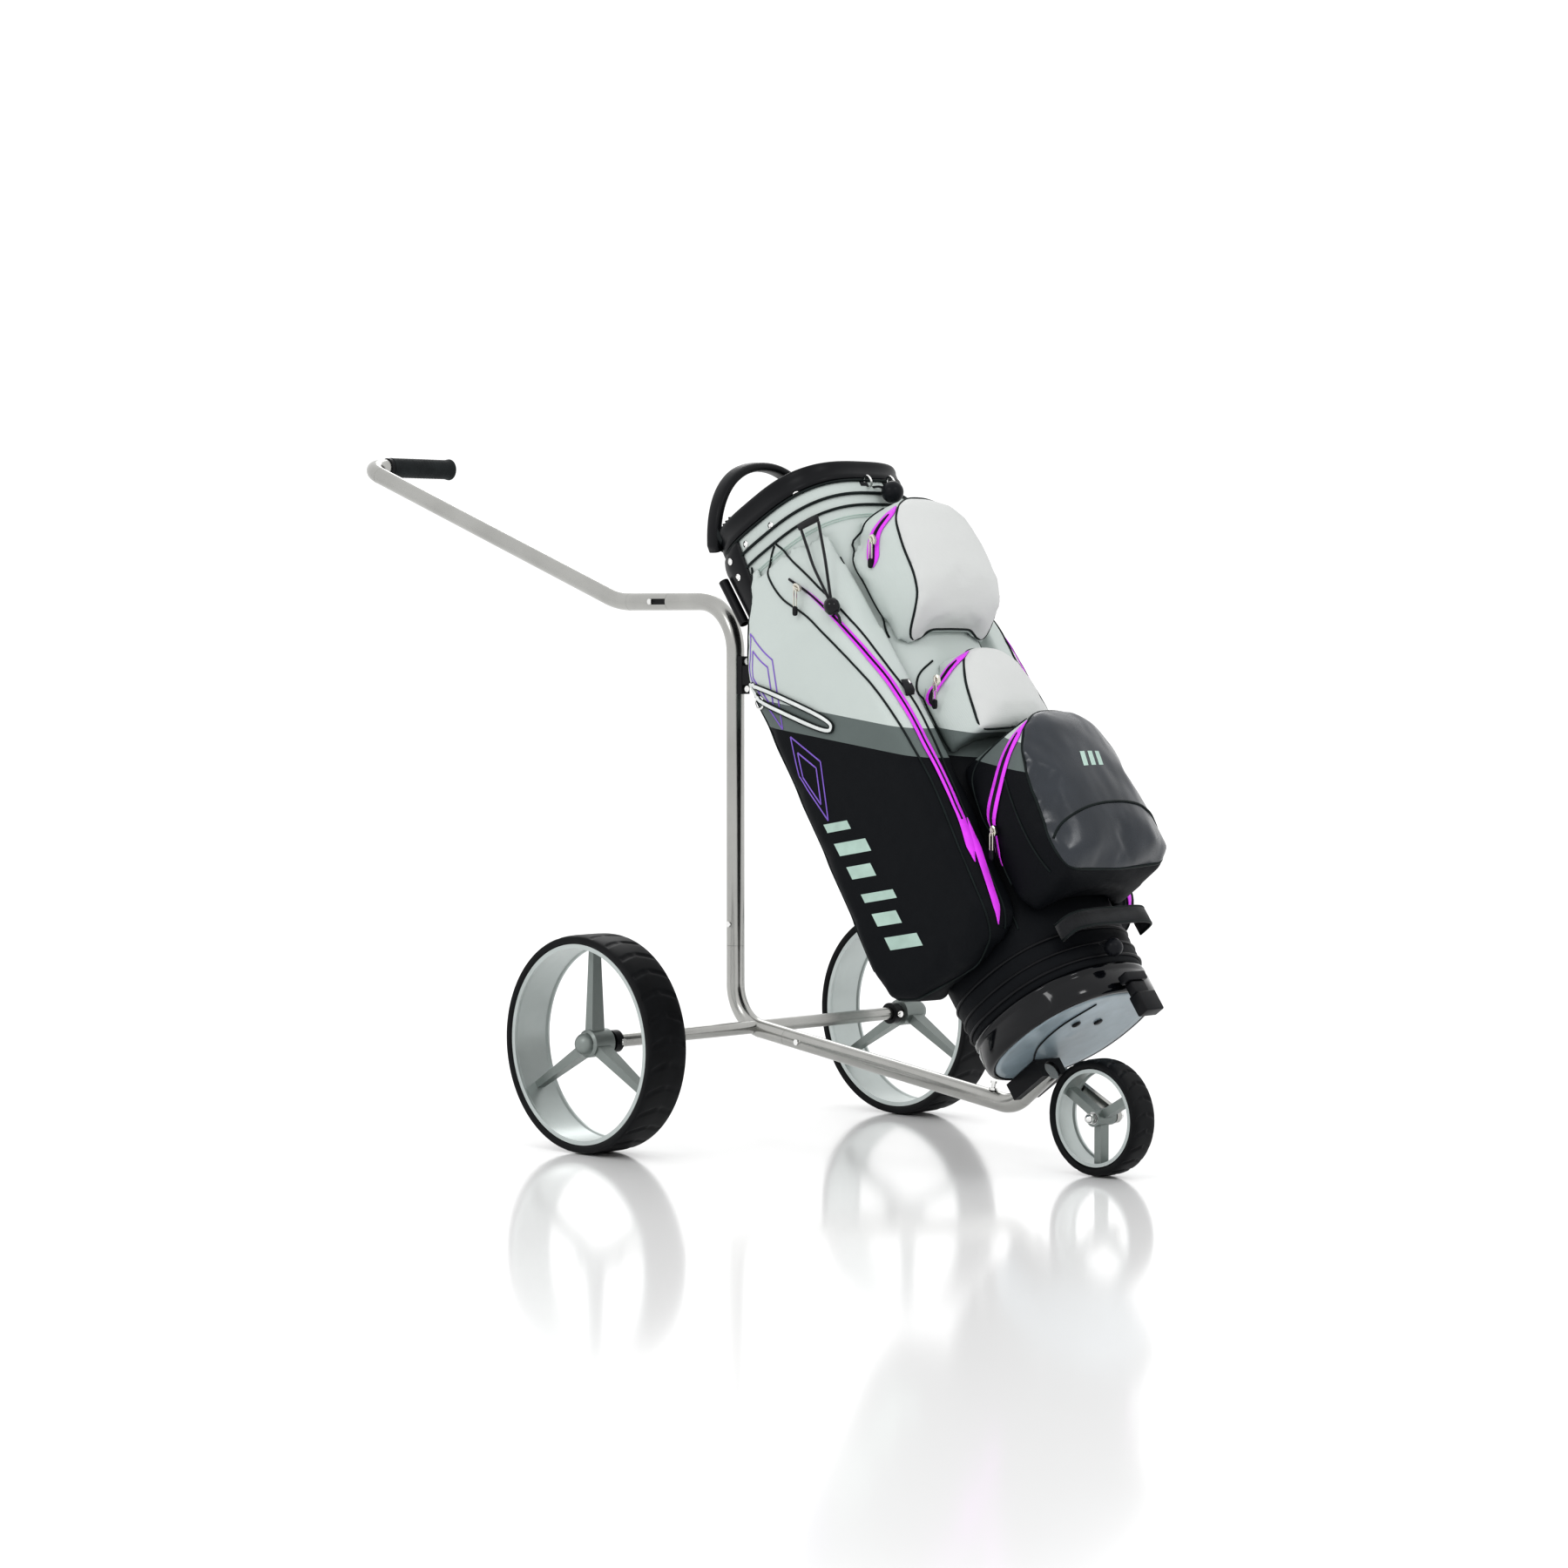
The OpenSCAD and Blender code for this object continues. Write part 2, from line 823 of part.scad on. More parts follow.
module side_form(side, grow) {
  hull() {
    slab_y(side * (side_out - 1 + grow)) offset(delta = grow) polygon(side_face);
    slab_y(side * (side_out - 18)) offset(delta = grow) polygon(side_belly);
    slab_y(side * 109) offset(delta = grow) polygon(side_neck);
    slab_y(side * (92 - grow)) offset(delta = grow) polygon(side_root);
  }
}

// Side pocket, cut back to the rear panel of the carrying handle
module side_pocket(side) {
  panel_foot = 722;
  panel_edge = -58;
  color([0.72, 0.77, 0.75]) in_bag()
    difference() {
      pocket_body() side_form(side, 0);
      translate([panel_edge + gap - 200, -200, panel_foot - gap]) cube([200, 400, 200]);
    }
}

// Thin plate drawn in the (front, up) plane at the sideways place y
module slab_y(y) {
  translate([0, y, 0]) rotate([90, 0, 0]) linear_extrude(1, center = true) children();
}

// Front pocket from rows of [height, reach, half width], cut back to the side pockets
module front_pocket(rows) {
  difference() {
    pocket_body()
      hull()
        for (row = rows)
          translate([row[1], 0, row[0]]) cube([1, 2 * row[2], 1], center = true);
    for (side = [-1, 1])
      side_form(side, gap);
  }
}

root_e = 95;

module top_pocket() {
  color([0.85, 0.88, 0.87]) in_bag()
    front_pocket([
      [733, 168, 10], [722, 180, 24], [706, 188, 46], [685, 187, 64], [640, 185, 73],
      [590, 178, 77], [560, 162, 78], [540, 128, 76], [690, 195, 22], [640, 197, 30],
      [590, 190, 30], [740, root_e, 60], [660, root_e, 98], [540, root_e, 84], [520, root_e, 60]
    ]);
}

module middle_pocket() {
  color([0.85, 0.88, 0.87]) in_bag()
    front_pocket([
      [500, 157, 10], [490, 166, 24], [470, 166, 46], [440, 162, 60], [400, 158, 68],
      [372, 156, 72], [450, 174, 20], [400, 172, 30], [512, root_e, 50], [450, root_e, 96],
      [368, root_e, 100]
    ]);
}

module ball_pocket() {
  color([0.16, 0.18, 0.21]) in_bag()
    front_pocket([
      [366, 205, 14], [356, 214, 40], [340, 214, 64], [310, 208, 86], [270, 202, 96],
      [220, 198, 100], [170, 197, 104], [148, 200, 100], [130, 180, 90], [330, 226, 20],
      [240, 220, 40], [170, 225, 50], [150, 218, 60], [350, root_e, 80], [290, root_e, 104],
      [146, root_e, 104], [124, root_e, 84]
    ]);
}

// ---------- bag hardware ----------

// Flat carrying loop on the right side pocket
module side_loop() {
  slant = 57;
  thick = 3;
  color("black") in_bag()
    translate([-52, -side_out - 0.4, 545])
      rotate([90, 0, 0])
        rotate([0, 0, -slant])
          linear_extrude(thick)
            difference() {
              polygon(rounded(86, 16, 6, 40));
              polygon(rounded(78, 9, 5, 40));
            }
}

cord_r = 2;
stopper = [90, -152, 610];
anchor_ends = [[76, -119, 744], [108, -119, 734]];

module elastic_cord() {
  color("black") in_bag()
    for (a = anchor_ends)
      rod(a, stopper + unit(a - stopper) * 12, cord_r);
}

module cord_stopper() {
  stopper_r = 11;
  color("black") in_bag() {
    translate(stopper) sphere(r = stopper_r);
    translate([92, -119, 744]) rotate([0, 17, 0]) cube([40, 6, 9], center = true);
  }
}

module small_ring(r, bar) {
  rotate_extrude($fn = 32) translate([r, 0]) circle(r = bar, $fn = 16);
}

module clip_hooks() {
  bar = 1.6;
  color("gainsboro") in_bag() {
    for (y = [-10, 34])
      translate([top_half_d + top_shift + 6, y, bag_len - 22]) rotate([90, 20, 70])
        small_ring(9, bar);
    translate([-92, -side_out - 5.3, 585]) rotate([90, 0, 0]) small_ring(8, bar);
  }
}

module toggle_balls() {
  color([0.08, 0.08, 0.09]) in_bag() {
    translate([top_half_d + top_shift + 18, 12, bag_len - 48]) sphere(r = 15);
    translate([base_half_d + 22, -15, 50]) sphere(r = 12);
  }
}

// Wide strap loop below the ball pocket, and the buckle at the front of the base
module base_straps() {
  strap_w = 26;
  strap_t = 3;
  loop_half = 76;
  loop_out = 38;
  color([0.07, 0.07, 0.08]) in_bag() {
    translate([base_half_d, 0, 70])
      linear_extrude(strap_w)
        difference() {
          polygon(rounded(loop_out, loop_half, 5));
          polygon(rounded(loop_out - strap_t, loop_half - strap_t, 5));
          translate([-200, -200]) square([204, 400]);
        }
    translate([base_half_d + 6, -20, -45]) cube([20, 40, 60]);
  }
}

// Zip slider with its pull, which hangs straight down when the bag leans
module zip_slider(e, y, s) {
  color("gainsboro") in_bag() translate([e, y, s]) {
    cube([9, 6, 14], center = true);
    rotate([0, bag_lean, 0]) translate([-3, -4, -36]) cube([6, 2, 34]);
  }
}

module top_zip_slider() { zip_slider(150, -88, 674); }
module middle_zip_slider() { zip_slider(139, -90, 458); }
module ball_zip_slider() { zip_slider(125, -111, 236); }
module side_zip_slider() { zip_slider(52, -147, 668); }

// ---------- placing ----------

module placed() { translate([-centre_x, 0, 0]) children(); }

placed() axle_tube();
placed() lower_post();
placed() upper_post();
placed() joint_spigots();
placed() post_button();
placed() handle_button();
placed() front_button();
placed() bag_bracket();
placed() bracket_screw();
placed() cradle_pad();
placed() front_tube();
placed() tube_end_cap();
placed() base_rest_pad();
placed() strap_lug();
placed() fork_arm();
placed() front_axle();
placed() front_axle_nuts();
placed() axle_collars();
placed() release_pin(1);  // left_release_pin
placed() release_pin(-1);  // right_release_pin
placed() handle_tube();
placed() handle_collar();
placed() grip();
placed() stub_axle(1);  // left_stub_axle
placed() rear_bearings(1);  // left_bearings
placed() rear_hub(1);  // left_hub
placed() rear_rim(1);  // left_rim
placed() rear_tyre(1);  // left_tyre
placed() stub_axle(-1);  // right_stub_axle
placed() rear_bearings(-1);  // right_bearings
placed() rear_hub(-1);  // right_hub
placed() rear_rim(-1);  // right_rim
placed() rear_tyre(-1);  // right_tyre
placed() front_bearings();
placed() front_hub();
placed() front_rim();
placed() front_tyre();
placed() bag_body();
placed() collar_ring();
placed() divider_grid();
placed() divider_panels();
placed() grab_handle();
placed() sleeve_tube();
placed() base_moulding();
placed() base_plate();
placed() side_pocket(1);  // left_side_pocket
placed() side_pocket(-1);  // right_side_pocket
placed() top_pocket();
placed() middle_pocket();
placed() ball_pocket();
placed() side_loop();
placed() elastic_cord();
placed() cord_stopper();
placed() clip_hooks();
placed() toggle_balls();
placed() base_straps();
placed() top_zip_slider();
placed() middle_zip_slider();
placed() ball_zip_slider();
placed() side_zip_slider();
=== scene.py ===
"""Golf bag on a three-wheeled push cart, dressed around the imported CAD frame."""

import itertools
import math

import bmesh
import bpy
import numpy as np
from mathutils import Matrix, Vector, noise
from mathutils.bvhtree import BVHTree


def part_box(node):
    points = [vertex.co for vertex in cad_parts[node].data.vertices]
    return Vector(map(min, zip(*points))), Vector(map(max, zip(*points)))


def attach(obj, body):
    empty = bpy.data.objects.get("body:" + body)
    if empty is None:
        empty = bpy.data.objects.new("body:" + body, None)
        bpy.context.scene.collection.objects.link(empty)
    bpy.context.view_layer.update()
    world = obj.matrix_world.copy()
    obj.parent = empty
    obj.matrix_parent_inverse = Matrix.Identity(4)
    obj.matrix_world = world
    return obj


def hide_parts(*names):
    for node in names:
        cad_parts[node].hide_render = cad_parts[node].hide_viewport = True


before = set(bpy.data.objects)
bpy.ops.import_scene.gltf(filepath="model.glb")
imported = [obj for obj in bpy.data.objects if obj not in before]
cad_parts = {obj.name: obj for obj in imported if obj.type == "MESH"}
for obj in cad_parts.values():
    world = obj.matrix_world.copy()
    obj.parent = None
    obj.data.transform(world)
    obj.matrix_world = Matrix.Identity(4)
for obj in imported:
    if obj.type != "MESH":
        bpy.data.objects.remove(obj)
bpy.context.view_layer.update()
MM = 0.001

# The bag's own frame, as in the CAD: local X to the bag's front, local Z up its axis.
SHIFT_X = 84.15
LEAN = math.radians(35.8)
BAG = Matrix.Translation(((580 + SHIFT_X) * MM, 0, 176 * MM)) @ Matrix.Rotation(-LEAN, 4, "Y")
BAG_LEN = 811
TOP_SHIFT = 5
BASE_HALF = (112, 115)
TOP_HALF = (116, 108)
COLLAR_TILT = math.radians(6.3)
COLLAR_MM = Matrix.Translation((TOP_SHIFT, 0, BAG_LEN)) @ Matrix.Rotation(COLLAR_TILT, 4, "Y")


# ---------- camera ----------

LENS = 89.485
LENS_SHIFT = (-0.0033, -0.0045)
CAMERA_AT = (3.86082 + SHIFT_X * MM, -3.72508, 0.70274)
AZIMUTH = math.radians(45.56)
ELEVATION = math.radians(2.27)


def make_camera():
    data = bpy.data.cameras.new("camera")
    data.sensor_width = 36
    data.lens = LENS
    data.shift_x, data.shift_y = LENS_SHIFT
    data.clip_end = 100
    camera = bpy.data.objects.new("camera", data)
    bpy.context.scene.collection.objects.link(camera)
    back = Vector((
        math.sin(AZIMUTH) * math.cos(ELEVATION),
        -math.cos(AZIMUTH) * math.cos(ELEVATION),
        math.sin(ELEVATION),
    ))
    camera.location = CAMERA_AT
    camera.rotation_mode = "QUATERNION"
    camera.rotation_quaternion = (-back).to_track_quat("-Z", "Y")
    bpy.context.scene.camera = camera


make_camera()


# ---------- materials ----------

class Shader:
    """A node material built step by step around one Principled shader."""

    def __init__(self, name, metallic=0.0, **constants):
        self.material = bpy.data.materials.new(name)
        self.material.use_nodes = True
        self.tree = self.material.node_tree
        self.main = self.tree.nodes["Principled BSDF"]
        self.main.inputs["Metallic"].default_value = metallic
        for socket, value in constants.items():
            self.main.inputs[socket.replace("_", " ")].default_value = value
        self.place = self.node("ShaderNodeTexCoord").outputs["Object"]

    def node(self, kind, **settings):
        made = self.tree.nodes.new(kind)
        for key, value in settings.items():
            setattr(made, key, value)
        return made

    def link(self, source, socket):
        self.tree.links.new(source, socket)

    def value(self, operation, a, b=0.0, c=0.0, clamp=False):
        made = self.node("ShaderNodeMath", operation=operation, use_clamp=clamp)
        for socket, item in zip(made.inputs, (a, b, c)):
            if isinstance(item, (int, float)):
                socket.default_value = item
            else:
                self.link(item, socket)
        return made.outputs[0]

    def stretched(self, scale, turn=(0, 0, 0)):
        made = self.node("ShaderNodeMapping")
        made.inputs["Scale"].default_value = scale
        made.inputs["Rotation"].default_value = turn
        self.link(self.place, made.inputs["Vector"])
        return made.outputs[0]

    def noise(self, scale, detail=4.0, rough=0.55, vector=None):
        made = self.node("ShaderNodeTexNoise")
        made.inputs["Scale"].default_value = scale
        made.inputs["Detail"].default_value = detail
        made.inputs["Roughness"].default_value = rough
        self.link(vector or self.place, made.inputs["Vector"])
        return made.outputs["Fac"]

    def wave(self, axis, per_metre, vector=None, distortion=0.0):
        made = self.node("ShaderNodeTexWave", wave_type="BANDS", bands_direction=axis)
        made.inputs["Scale"].default_value = per_metre / 3.18
        made.inputs["Distortion"].default_value = distortion
        self.link(vector or self.place, made.inputs["Vector"])
        return made.outputs["Fac"]

    def ramp(self, source, stops):
        made = self.node("ShaderNodeValToRGB")
        elements = made.color_ramp.elements
        while len(elements) < len(stops):
            elements.new(0.5)
        for element, (at, tone) in zip(elements, stops):
            element.position = at
            element.color = (*tone, 1) if len(tone) == 3 else tone
        self.link(source, made.inputs["Fac"])
        return made.outputs["Color"]

    def mix(self, share, a, b):
        made = self.node("ShaderNodeMix", data_type="RGBA")
        for socket, item in ((made.inputs["Factor"], share), (made.inputs["A"], a), (made.inputs["B"], b)):
            if isinstance(item, tuple):
                socket.default_value = (*item, 1)
            elif isinstance(item, (int, float)):
                socket.default_value = item
            else:
                self.link(item, socket)
        return next(o for o in made.outputs if o.type == "RGBA")

    def colour(self, source):
        if isinstance(source, tuple):
            self.main.inputs["Base Color"].default_value = (*source, 1)
        else:
            self.link(source, self.main.inputs["Base Color"])

    def roughness(self, source, low, high):
        made = self.node("ShaderNodeMapRange")
        self.link(source, made.inputs["Value"])
        made.inputs["To Min"].default_value = low
        made.inputs["To Max"].default_value = high
        self.link(made.outputs[0], self.main.inputs["Roughness"])

    def bump(self, source, strength, distance):
        made = self.node("ShaderNodeBump")
        made.inputs["Strength"].default_value = strength
        made.inputs["Distance"].default_value = distance
        self.link(source, made.inputs["Height"])
        last = self.main.inputs["Normal"].links
        if last:
            self.link(last[0].from_socket, made.inputs["Normal"])
        self.link(made.outputs[0], self.main.inputs["Normal"])


def varied(shader, tone, spread, scale, detail=4.0):
    """A base colour that wanders a little round one tone."""
    low = tuple(max(0.0, c * (1 - spread)) for c in tone)
    high = tuple(min(1.0, c * (1 + spread)) for c in tone)
    shader.colour(shader.ramp(shader.noise(scale, detail), [(0.3, low), (0.7, high)]))


def metal(name, tone, rough, grain=260, streaks=(1, 1, 1), bump=0.06, metallic=1.0):
    s = Shader(name, metallic=metallic)
    varied(s, tone, 0.07, 14)
    streak = s.noise(grain, 5, 0.6, s.stretched(streaks))
    s.roughness(streak, rough[0], rough[1])
    s.bump(streak, bump, 0.0004)
    return s.material


def moulded(name, tone, rough, coat=0.0, grain=900, bump=0.12, level=0.5):
    s = Shader(name, Coat_Weight=coat, Coat_Roughness=0.08, Specular_IOR_Level=level)
    varied(s, tone, 0.16, 22)
    s.roughness(s.noise(55, 6), rough[0], rough[1])
    s.bump(s.noise(grain, 3), bump, 0.0003)
    return s.material


def weave_bump(s, per_metre, strength=0.35, distance=0.0003):
    warp = s.wave("X", per_metre)
    weft = s.wave("Z", per_metre)
    depth = s.wave("Y", per_metre)
    s.bump(s.value("ADD", s.value("MULTIPLY", warp, weft), s.value("MULTIPLY", depth, 0.5)), strength, distance)


WHITE = (0.53, 0.58, 0.56)
FACE_WHITE = (0.6, 0.612, 0.605)
GREY = (0.13, 0.155, 0.15)
BLACK = (0.0035, 0.0044, 0.006)
SEAM_RISE = -0.93
WHITE_FOOT = 505
GREY_FOOT = 459


def zone_fabric(name, white=WHITE, rough=(0.5, 0.66)):
    """Coated weave in the bag's frame: pale above, a grey band, black below the sloping seams."""
    s = Shader(name, Specular_IOR_Level=0.14)
    split = s.node("ShaderNodeSeparateXYZ")
    s.link(s.place, split.inputs[0])
    level = s.value("MULTIPLY_ADD", split.outputs["X"], -SEAM_RISE, split.outputs["Z"])
    cloudy = s.noise(9, 5)
    fine = s.noise(420, 3)
    pale = s.mix(cloudy, tuple(c * 0.955 for c in white), tuple(min(1, c * 1.03) for c in white))
    band = s.mix(cloudy, tuple(c * 0.86 for c in GREY), tuple(c * 1.1 for c in GREY))
    dark = s.mix(fine, tuple(c * 0.75 for c in BLACK), tuple(c * 1.6 for c in BLACK))
    over_grey = s.value("GREATER_THAN", level, GREY_FOOT * MM)
    over_white = s.value("GREATER_THAN", level, WHITE_FOOT * MM)
    s.colour(s.mix(over_white, s.mix(over_grey, dark, band), pale))
    s.roughness(s.noise(70, 5), rough[0], rough[1])
    weave_bump(s, 900, 0.22)
    s.bump(s.noise(16, 4), 0.25, 0.004)
    return s.material


def plain_fabric(name, tone, rough, per_metre=900, sheen=0.1, spread=0.12, strength=0.3):
    s = Shader(name, Sheen_Weight=sheen, Sheen_Roughness=0.45, Specular_IOR_Level=0.25)
    varied(s, tone, spread, 30)
    s.roughness(s.noise(80, 4), rough[0], rough[1])
    weave_bump(s, per_metre, strength)
    return s.material


def coated_fabric():
    """Slate laminate with soft creases that catch the light."""
    s = Shader("slate_laminate", Coat_Weight=0.25, Coat_Roughness=0.16, Specular_IOR_Level=0.4)
    s.colour(s.ramp(s.noise(7, 6, 0.6), [(0.3, (0.013, 0.017, 0.023)), (0.72, (0.026, 0.033, 0.044))]))
    s.roughness(s.noise(24, 5), 0.2, 0.36)
    crease = s.noise(8, 2, 0.45, s.stretched((1.0, 1.6, 0.75), (0.5, 0.3, 0.2)))
    s.bump(crease, 0.8, 0.022)
    s.bump(s.noise(60, 4), 0.2, 0.0012)
    s.bump(s.noise(900, 2), 0.1, 0.0003)
    return s.material


def rubber(name, tone=(0.006, 0.0065, 0.0075), rough=(0.42, 0.6), grain=700):
    s = Shader(name, Specular_IOR_Level=0.16)
    varied(s, tone, 0.3, 40)
    s.roughness(s.noise(38, 6), rough[0], rough[1])
    s.bump(s.noise(grain, 4), 0.18, 0.0003)
    return s.material


def zip_tape():
    s = Shader("zip_tape_magenta", Sheen_Weight=0.2, Sheen_Roughness=0.4)
    varied(s, (0.72, 0.045, 0.86), 0.1, 60)
    s.roughness(s.noise(120, 3), 0.45, 0.6)
    weave_bump(s, 1400, 0.4, 0.0002)
    return s.material


TUBE = metal("tube_satin_titanium", (0.40, 0.40, 0.385), (0.2, 0.27), 1200, (1, 1, 1), 0.008)
HUB = metal("hub_satin_grey", (0.235, 0.26, 0.25), (0.34, 0.5), 300, metallic=0.75)
RIM = metal("rim_silver_paint", (0.47, 0.51, 0.50), (0.3, 0.42), 200, metallic=0.8)
CHROME = metal("bright_chrome", (0.78, 0.78, 0.77), (0.06, 0.16), 500, bump=0.02)
STEEL = metal("bearing_steel", (0.55, 0.55, 0.55), (0.2, 0.34), 500)
ZIP_METAL = metal("zip_nickel", (0.62, 0.6, 0.54), (0.16, 0.3), 700, bump=0.05)
BLACK_PLASTIC = moulded("black_plastic", (0.006, 0.0065, 0.008), (0.3, 0.46), level=0.2)
GLOSS_BLACK = moulded(
    "gloss_black_base", (0.003, 0.0035, 0.005), (0.08, 0.18), coat=0.3, grain=300, bump=0.03, level=0.2
)
PLATE = moulded("grey_blue_plate", (0.24, 0.30, 0.335), (0.28, 0.42), coat=0.25)
TYRE = rubber("tyre_rubber")
GRIP_RUBBER = rubber("grip_foam_rubber", (0.014, 0.017, 0.018), (0.5, 0.68), 1100)
BALL_RUBBER = rubber("ball_rubber", (0.01, 0.011, 0.014), (0.28, 0.4), 500)
FABRIC = zone_fabric("coated_weave")
FACE_FABRIC = zone_fabric("coated_weave_face", FACE_WHITE)
LAMINATE = coated_fabric()
PIPING = rubber("piping_cord", (0.008, 0.013, 0.013), (0.4, 0.55), 1500)
WEBBING = plain_fabric("black_webbing", (0.012, 0.013, 0.015), (0.5, 0.7), 700, 0.15, 0.3, 0.6)
DARK_FLEECE = plain_fabric("divider_fleece", (0.02, 0.021, 0.023), (0.75, 0.95), 500, 0.5, 0.3, 0.5)
MAGENTA = zip_tape()
SAGE = plain_fabric("sage_print", (0.42, 0.56, 0.5), (0.45, 0.6), 900)
VIOLET = plain_fabric("violet_line_print", (0.22, 0.12, 0.52), (0.45, 0.6), 900)
SAGE_TRIM = plain_fabric("pale_trim_tape", (0.7, 0.73, 0.72), (0.45, 0.6), 900)
ZIP_COIL = rubber("zip_coil_black", (0.008, 0.008, 0.01), (0.35, 0.5), 1800)

CAD_FINISH = {
    TUBE: ["axle_tube", "lower_post", "upper_post", "handle_tube", "front_tube", "fork_arm", "tube_end_cap"],
    BLACK_PLASTIC: ["joint_spigots", "bag_bracket", "cradle_pad", "base_rest_pad", "axle_collars",
                    "handle_collar", "sleeve_tube"],
    CHROME: ["post_button", "handle_button", "front_button", "bracket_screw", "strap_lug", "front_axle",
             "front_axle_nuts", "left_release_pin", "right_release_pin", "left_stub_axle", "right_stub_axle"],
    STEEL: ["left_bearings", "right_bearings", "front_bearings"],
    HUB: ["left_hub", "right_hub", "front_hub"],
    RIM: ["left_rim", "right_rim", "front_rim"],
    DARK_FLEECE: ["divider_panels"],
}


def finish_cad_nodes():
    for material, nodes in CAD_FINISH.items():
        for name in nodes:
            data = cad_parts[name].data
            data.materials.clear()
            data.materials.append(material)


finish_cad_nodes()


# ---------- mesh helpers ----------

def add_piece(name, verts, faces, material, body="bag", slot=None, replaces=(), place=BAG, smooth=True):
    """A mesh piece from points in millimetres in the frame place, riding on a body."""
    data = bpy.data.meshes.new(name)
    data.from_pydata([Vector(v) * MM for v in verts], [], faces)
    data.validate()
    bm = bmesh.new()
    bm.from_mesh(data)
    bmesh.ops.recalc_face_normals(bm, faces=bm.faces)
    bm.to_mesh(data)
    bm.free()
    piece = bpy.data.objects.new(name, data)
    bpy.context.scene.collection.objects.link(piece)
    piece.matrix_world = place
    data.materials.append(material)
    if smooth:
        data.shade_smooth()
    return dress(piece, body, replaces)


def dress(piece, body, replaces=()):
    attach(piece, body)
    if replaces:
        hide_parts(*replaces)
    return piece


def smooth_path(points, step=4.0, closed=False):
    """Points about every step millimetres along a Catmull-Rom spline through the given ones."""
    pts = [Vector(p) for p in points]
    if closed:
        pts = [pts[-1], *pts, pts[0], pts[1]]
    else:
        pts = [2 * pts[0] - pts[1], *pts, 2 * pts[-1] - pts[-2]]
    out = []
    for a, b, c, d in zip(pts, pts[1:], pts[2:], pts[3:]):
        count = max(1, int((c - b).length / step))
        for i in range(count):
            t = i / count
            out.append(0.5 * (
                2 * b + (c - a) * t + (2 * a - 5 * b + 4 * c - d) * t * t
                + (3 * b - a - 3 * c + d) * t ** 3
            ))
    if not closed:
        out.append(pts[-2])
    return out


def turn_angles(count):
    """Angles of count even steps round one turn."""
    return [2 * math.pi * i / count for i in range(count)]


def loop_faces(rings, n, closed=True, start=0, wrap=False):
    """Quads between rings of n points each; wrap joins the last ring to the first."""
    faces = []
    for r in range(rings if wrap else rings - 1):
        a = start + r * n
        b = start + (r + 1) % rings * n
        for i in range(n if closed else n - 1):
            k = (i + 1) % n
            faces.append((a + i, a + k, b + k, b + i))
    return faces


def frames_along(path, normals=None, closed=False):
    """Side and up vectors along a path, carried without twist or taken from normals."""
    out = []
    last = None
    count = len(path)
    for i in range(count):
        ahead = path[(i + 1) % count] if closed else path[min(i + 1, count - 1)]
        behind = path[i - 1] if closed or i else path[0]
        along = (ahead - behind).normalized()
        if normals:
            up = normals[i]
        else:
            up = last if last else (Vector((0, 0, 1)) if abs(along.z) < 0.9 else Vector((1, 0, 0)))
        up = (up - along * up.dot(along)).normalized()
        last = up
        out.append((along.cross(up).normalized(), up))
    return out


def sweep(path, section, normals=None, closed=False, widths=None):
    """Vertices and faces of a section (side, up) carried along a path."""
    verts, n = [], len(section)
    for i, (p, (side, up)) in enumerate(zip(path, frames_along(path, normals, closed))):
        k = widths[i] if widths else 1.0
        verts += [p + side * (x * k) + up * z for x, z in section]
    rings = len(path)
    faces = loop_faces(rings, n, wrap=closed)
    if not closed:
        faces += [tuple(reversed(range(n))), tuple(range((rings - 1) * n, rings * n))]
    return verts, faces


def round_section(r, sides=8, squash=1.0):
    return [(r * math.cos(a), squash * r * math.sin(a)) for a in turn_angles(sides)]


def flat_section(width, thick, corner=0.35):
    """A flat band's section with softened corners, its underside at zero."""
    w, t, c = width / 2, thick, thick * corner
    return [(-w, 0), (w, 0), (w + c, t / 2), (w - c, t), (-w + c, t), (-w - c, t / 2)]


def tree_of(piece):
    """Search tree over a piece's final mesh, in its own frame, in millimetres."""
    data = piece.data
    verts = [v.co / MM for v in data.vertices]
    return BVHTree.FromPolygons(verts, [tuple(p.vertices) for p in data.polygons])


def snapped(path, trees, lift=0.0):
    """Moves each point to the nearest surface of the trees, then up by lift."""
    points, normals = [], []
    for p in path:
        hits = [tree.find_nearest(p) for tree in trees]
        spot, normal = min((h for h in hits if h[0] is not None), key=lambda h: h[3])[:2]
        points.append(spot)
        normals.append(normal)
    for _ in range(3):
        normals = [
            (normals[max(i - 1, 0)] + n + normals[min(i + 1, len(normals) - 1)]).normalized()
            for i, n in enumerate(normals)
        ]
    return [p + n * lift for p, n in zip(points, normals)], normals


def eased(path, rounds=2, closed=False):
    for _ in range(rounds):
        count = len(path)
        path = [
            p if not closed and i in (0, count - 1)
            else (path[i - 1] + p * 2 + path[(i + 1) % count]) / 4
            for i, p in enumerate(path)
        ]
    return path


def join_parts(parts):
    """One vertex and face list from several."""
    verts, faces = [], []
    for v, f in parts:
        start = len(verts)
        verts += v
        faces += [tuple(i + start for i in face) for face in f]
    return verts, faces


def seam_tube(points, trees, radius=1.5, lift=0.6, closed=False, step=5.0):
    """Piping laid on the nearest of several surfaces."""
    path, normals = snapped(smooth_path(points, step, closed), trees, lift)
    path = eased(path, 2, closed)
    return sweep(path, round_section(radius), normals, closed)


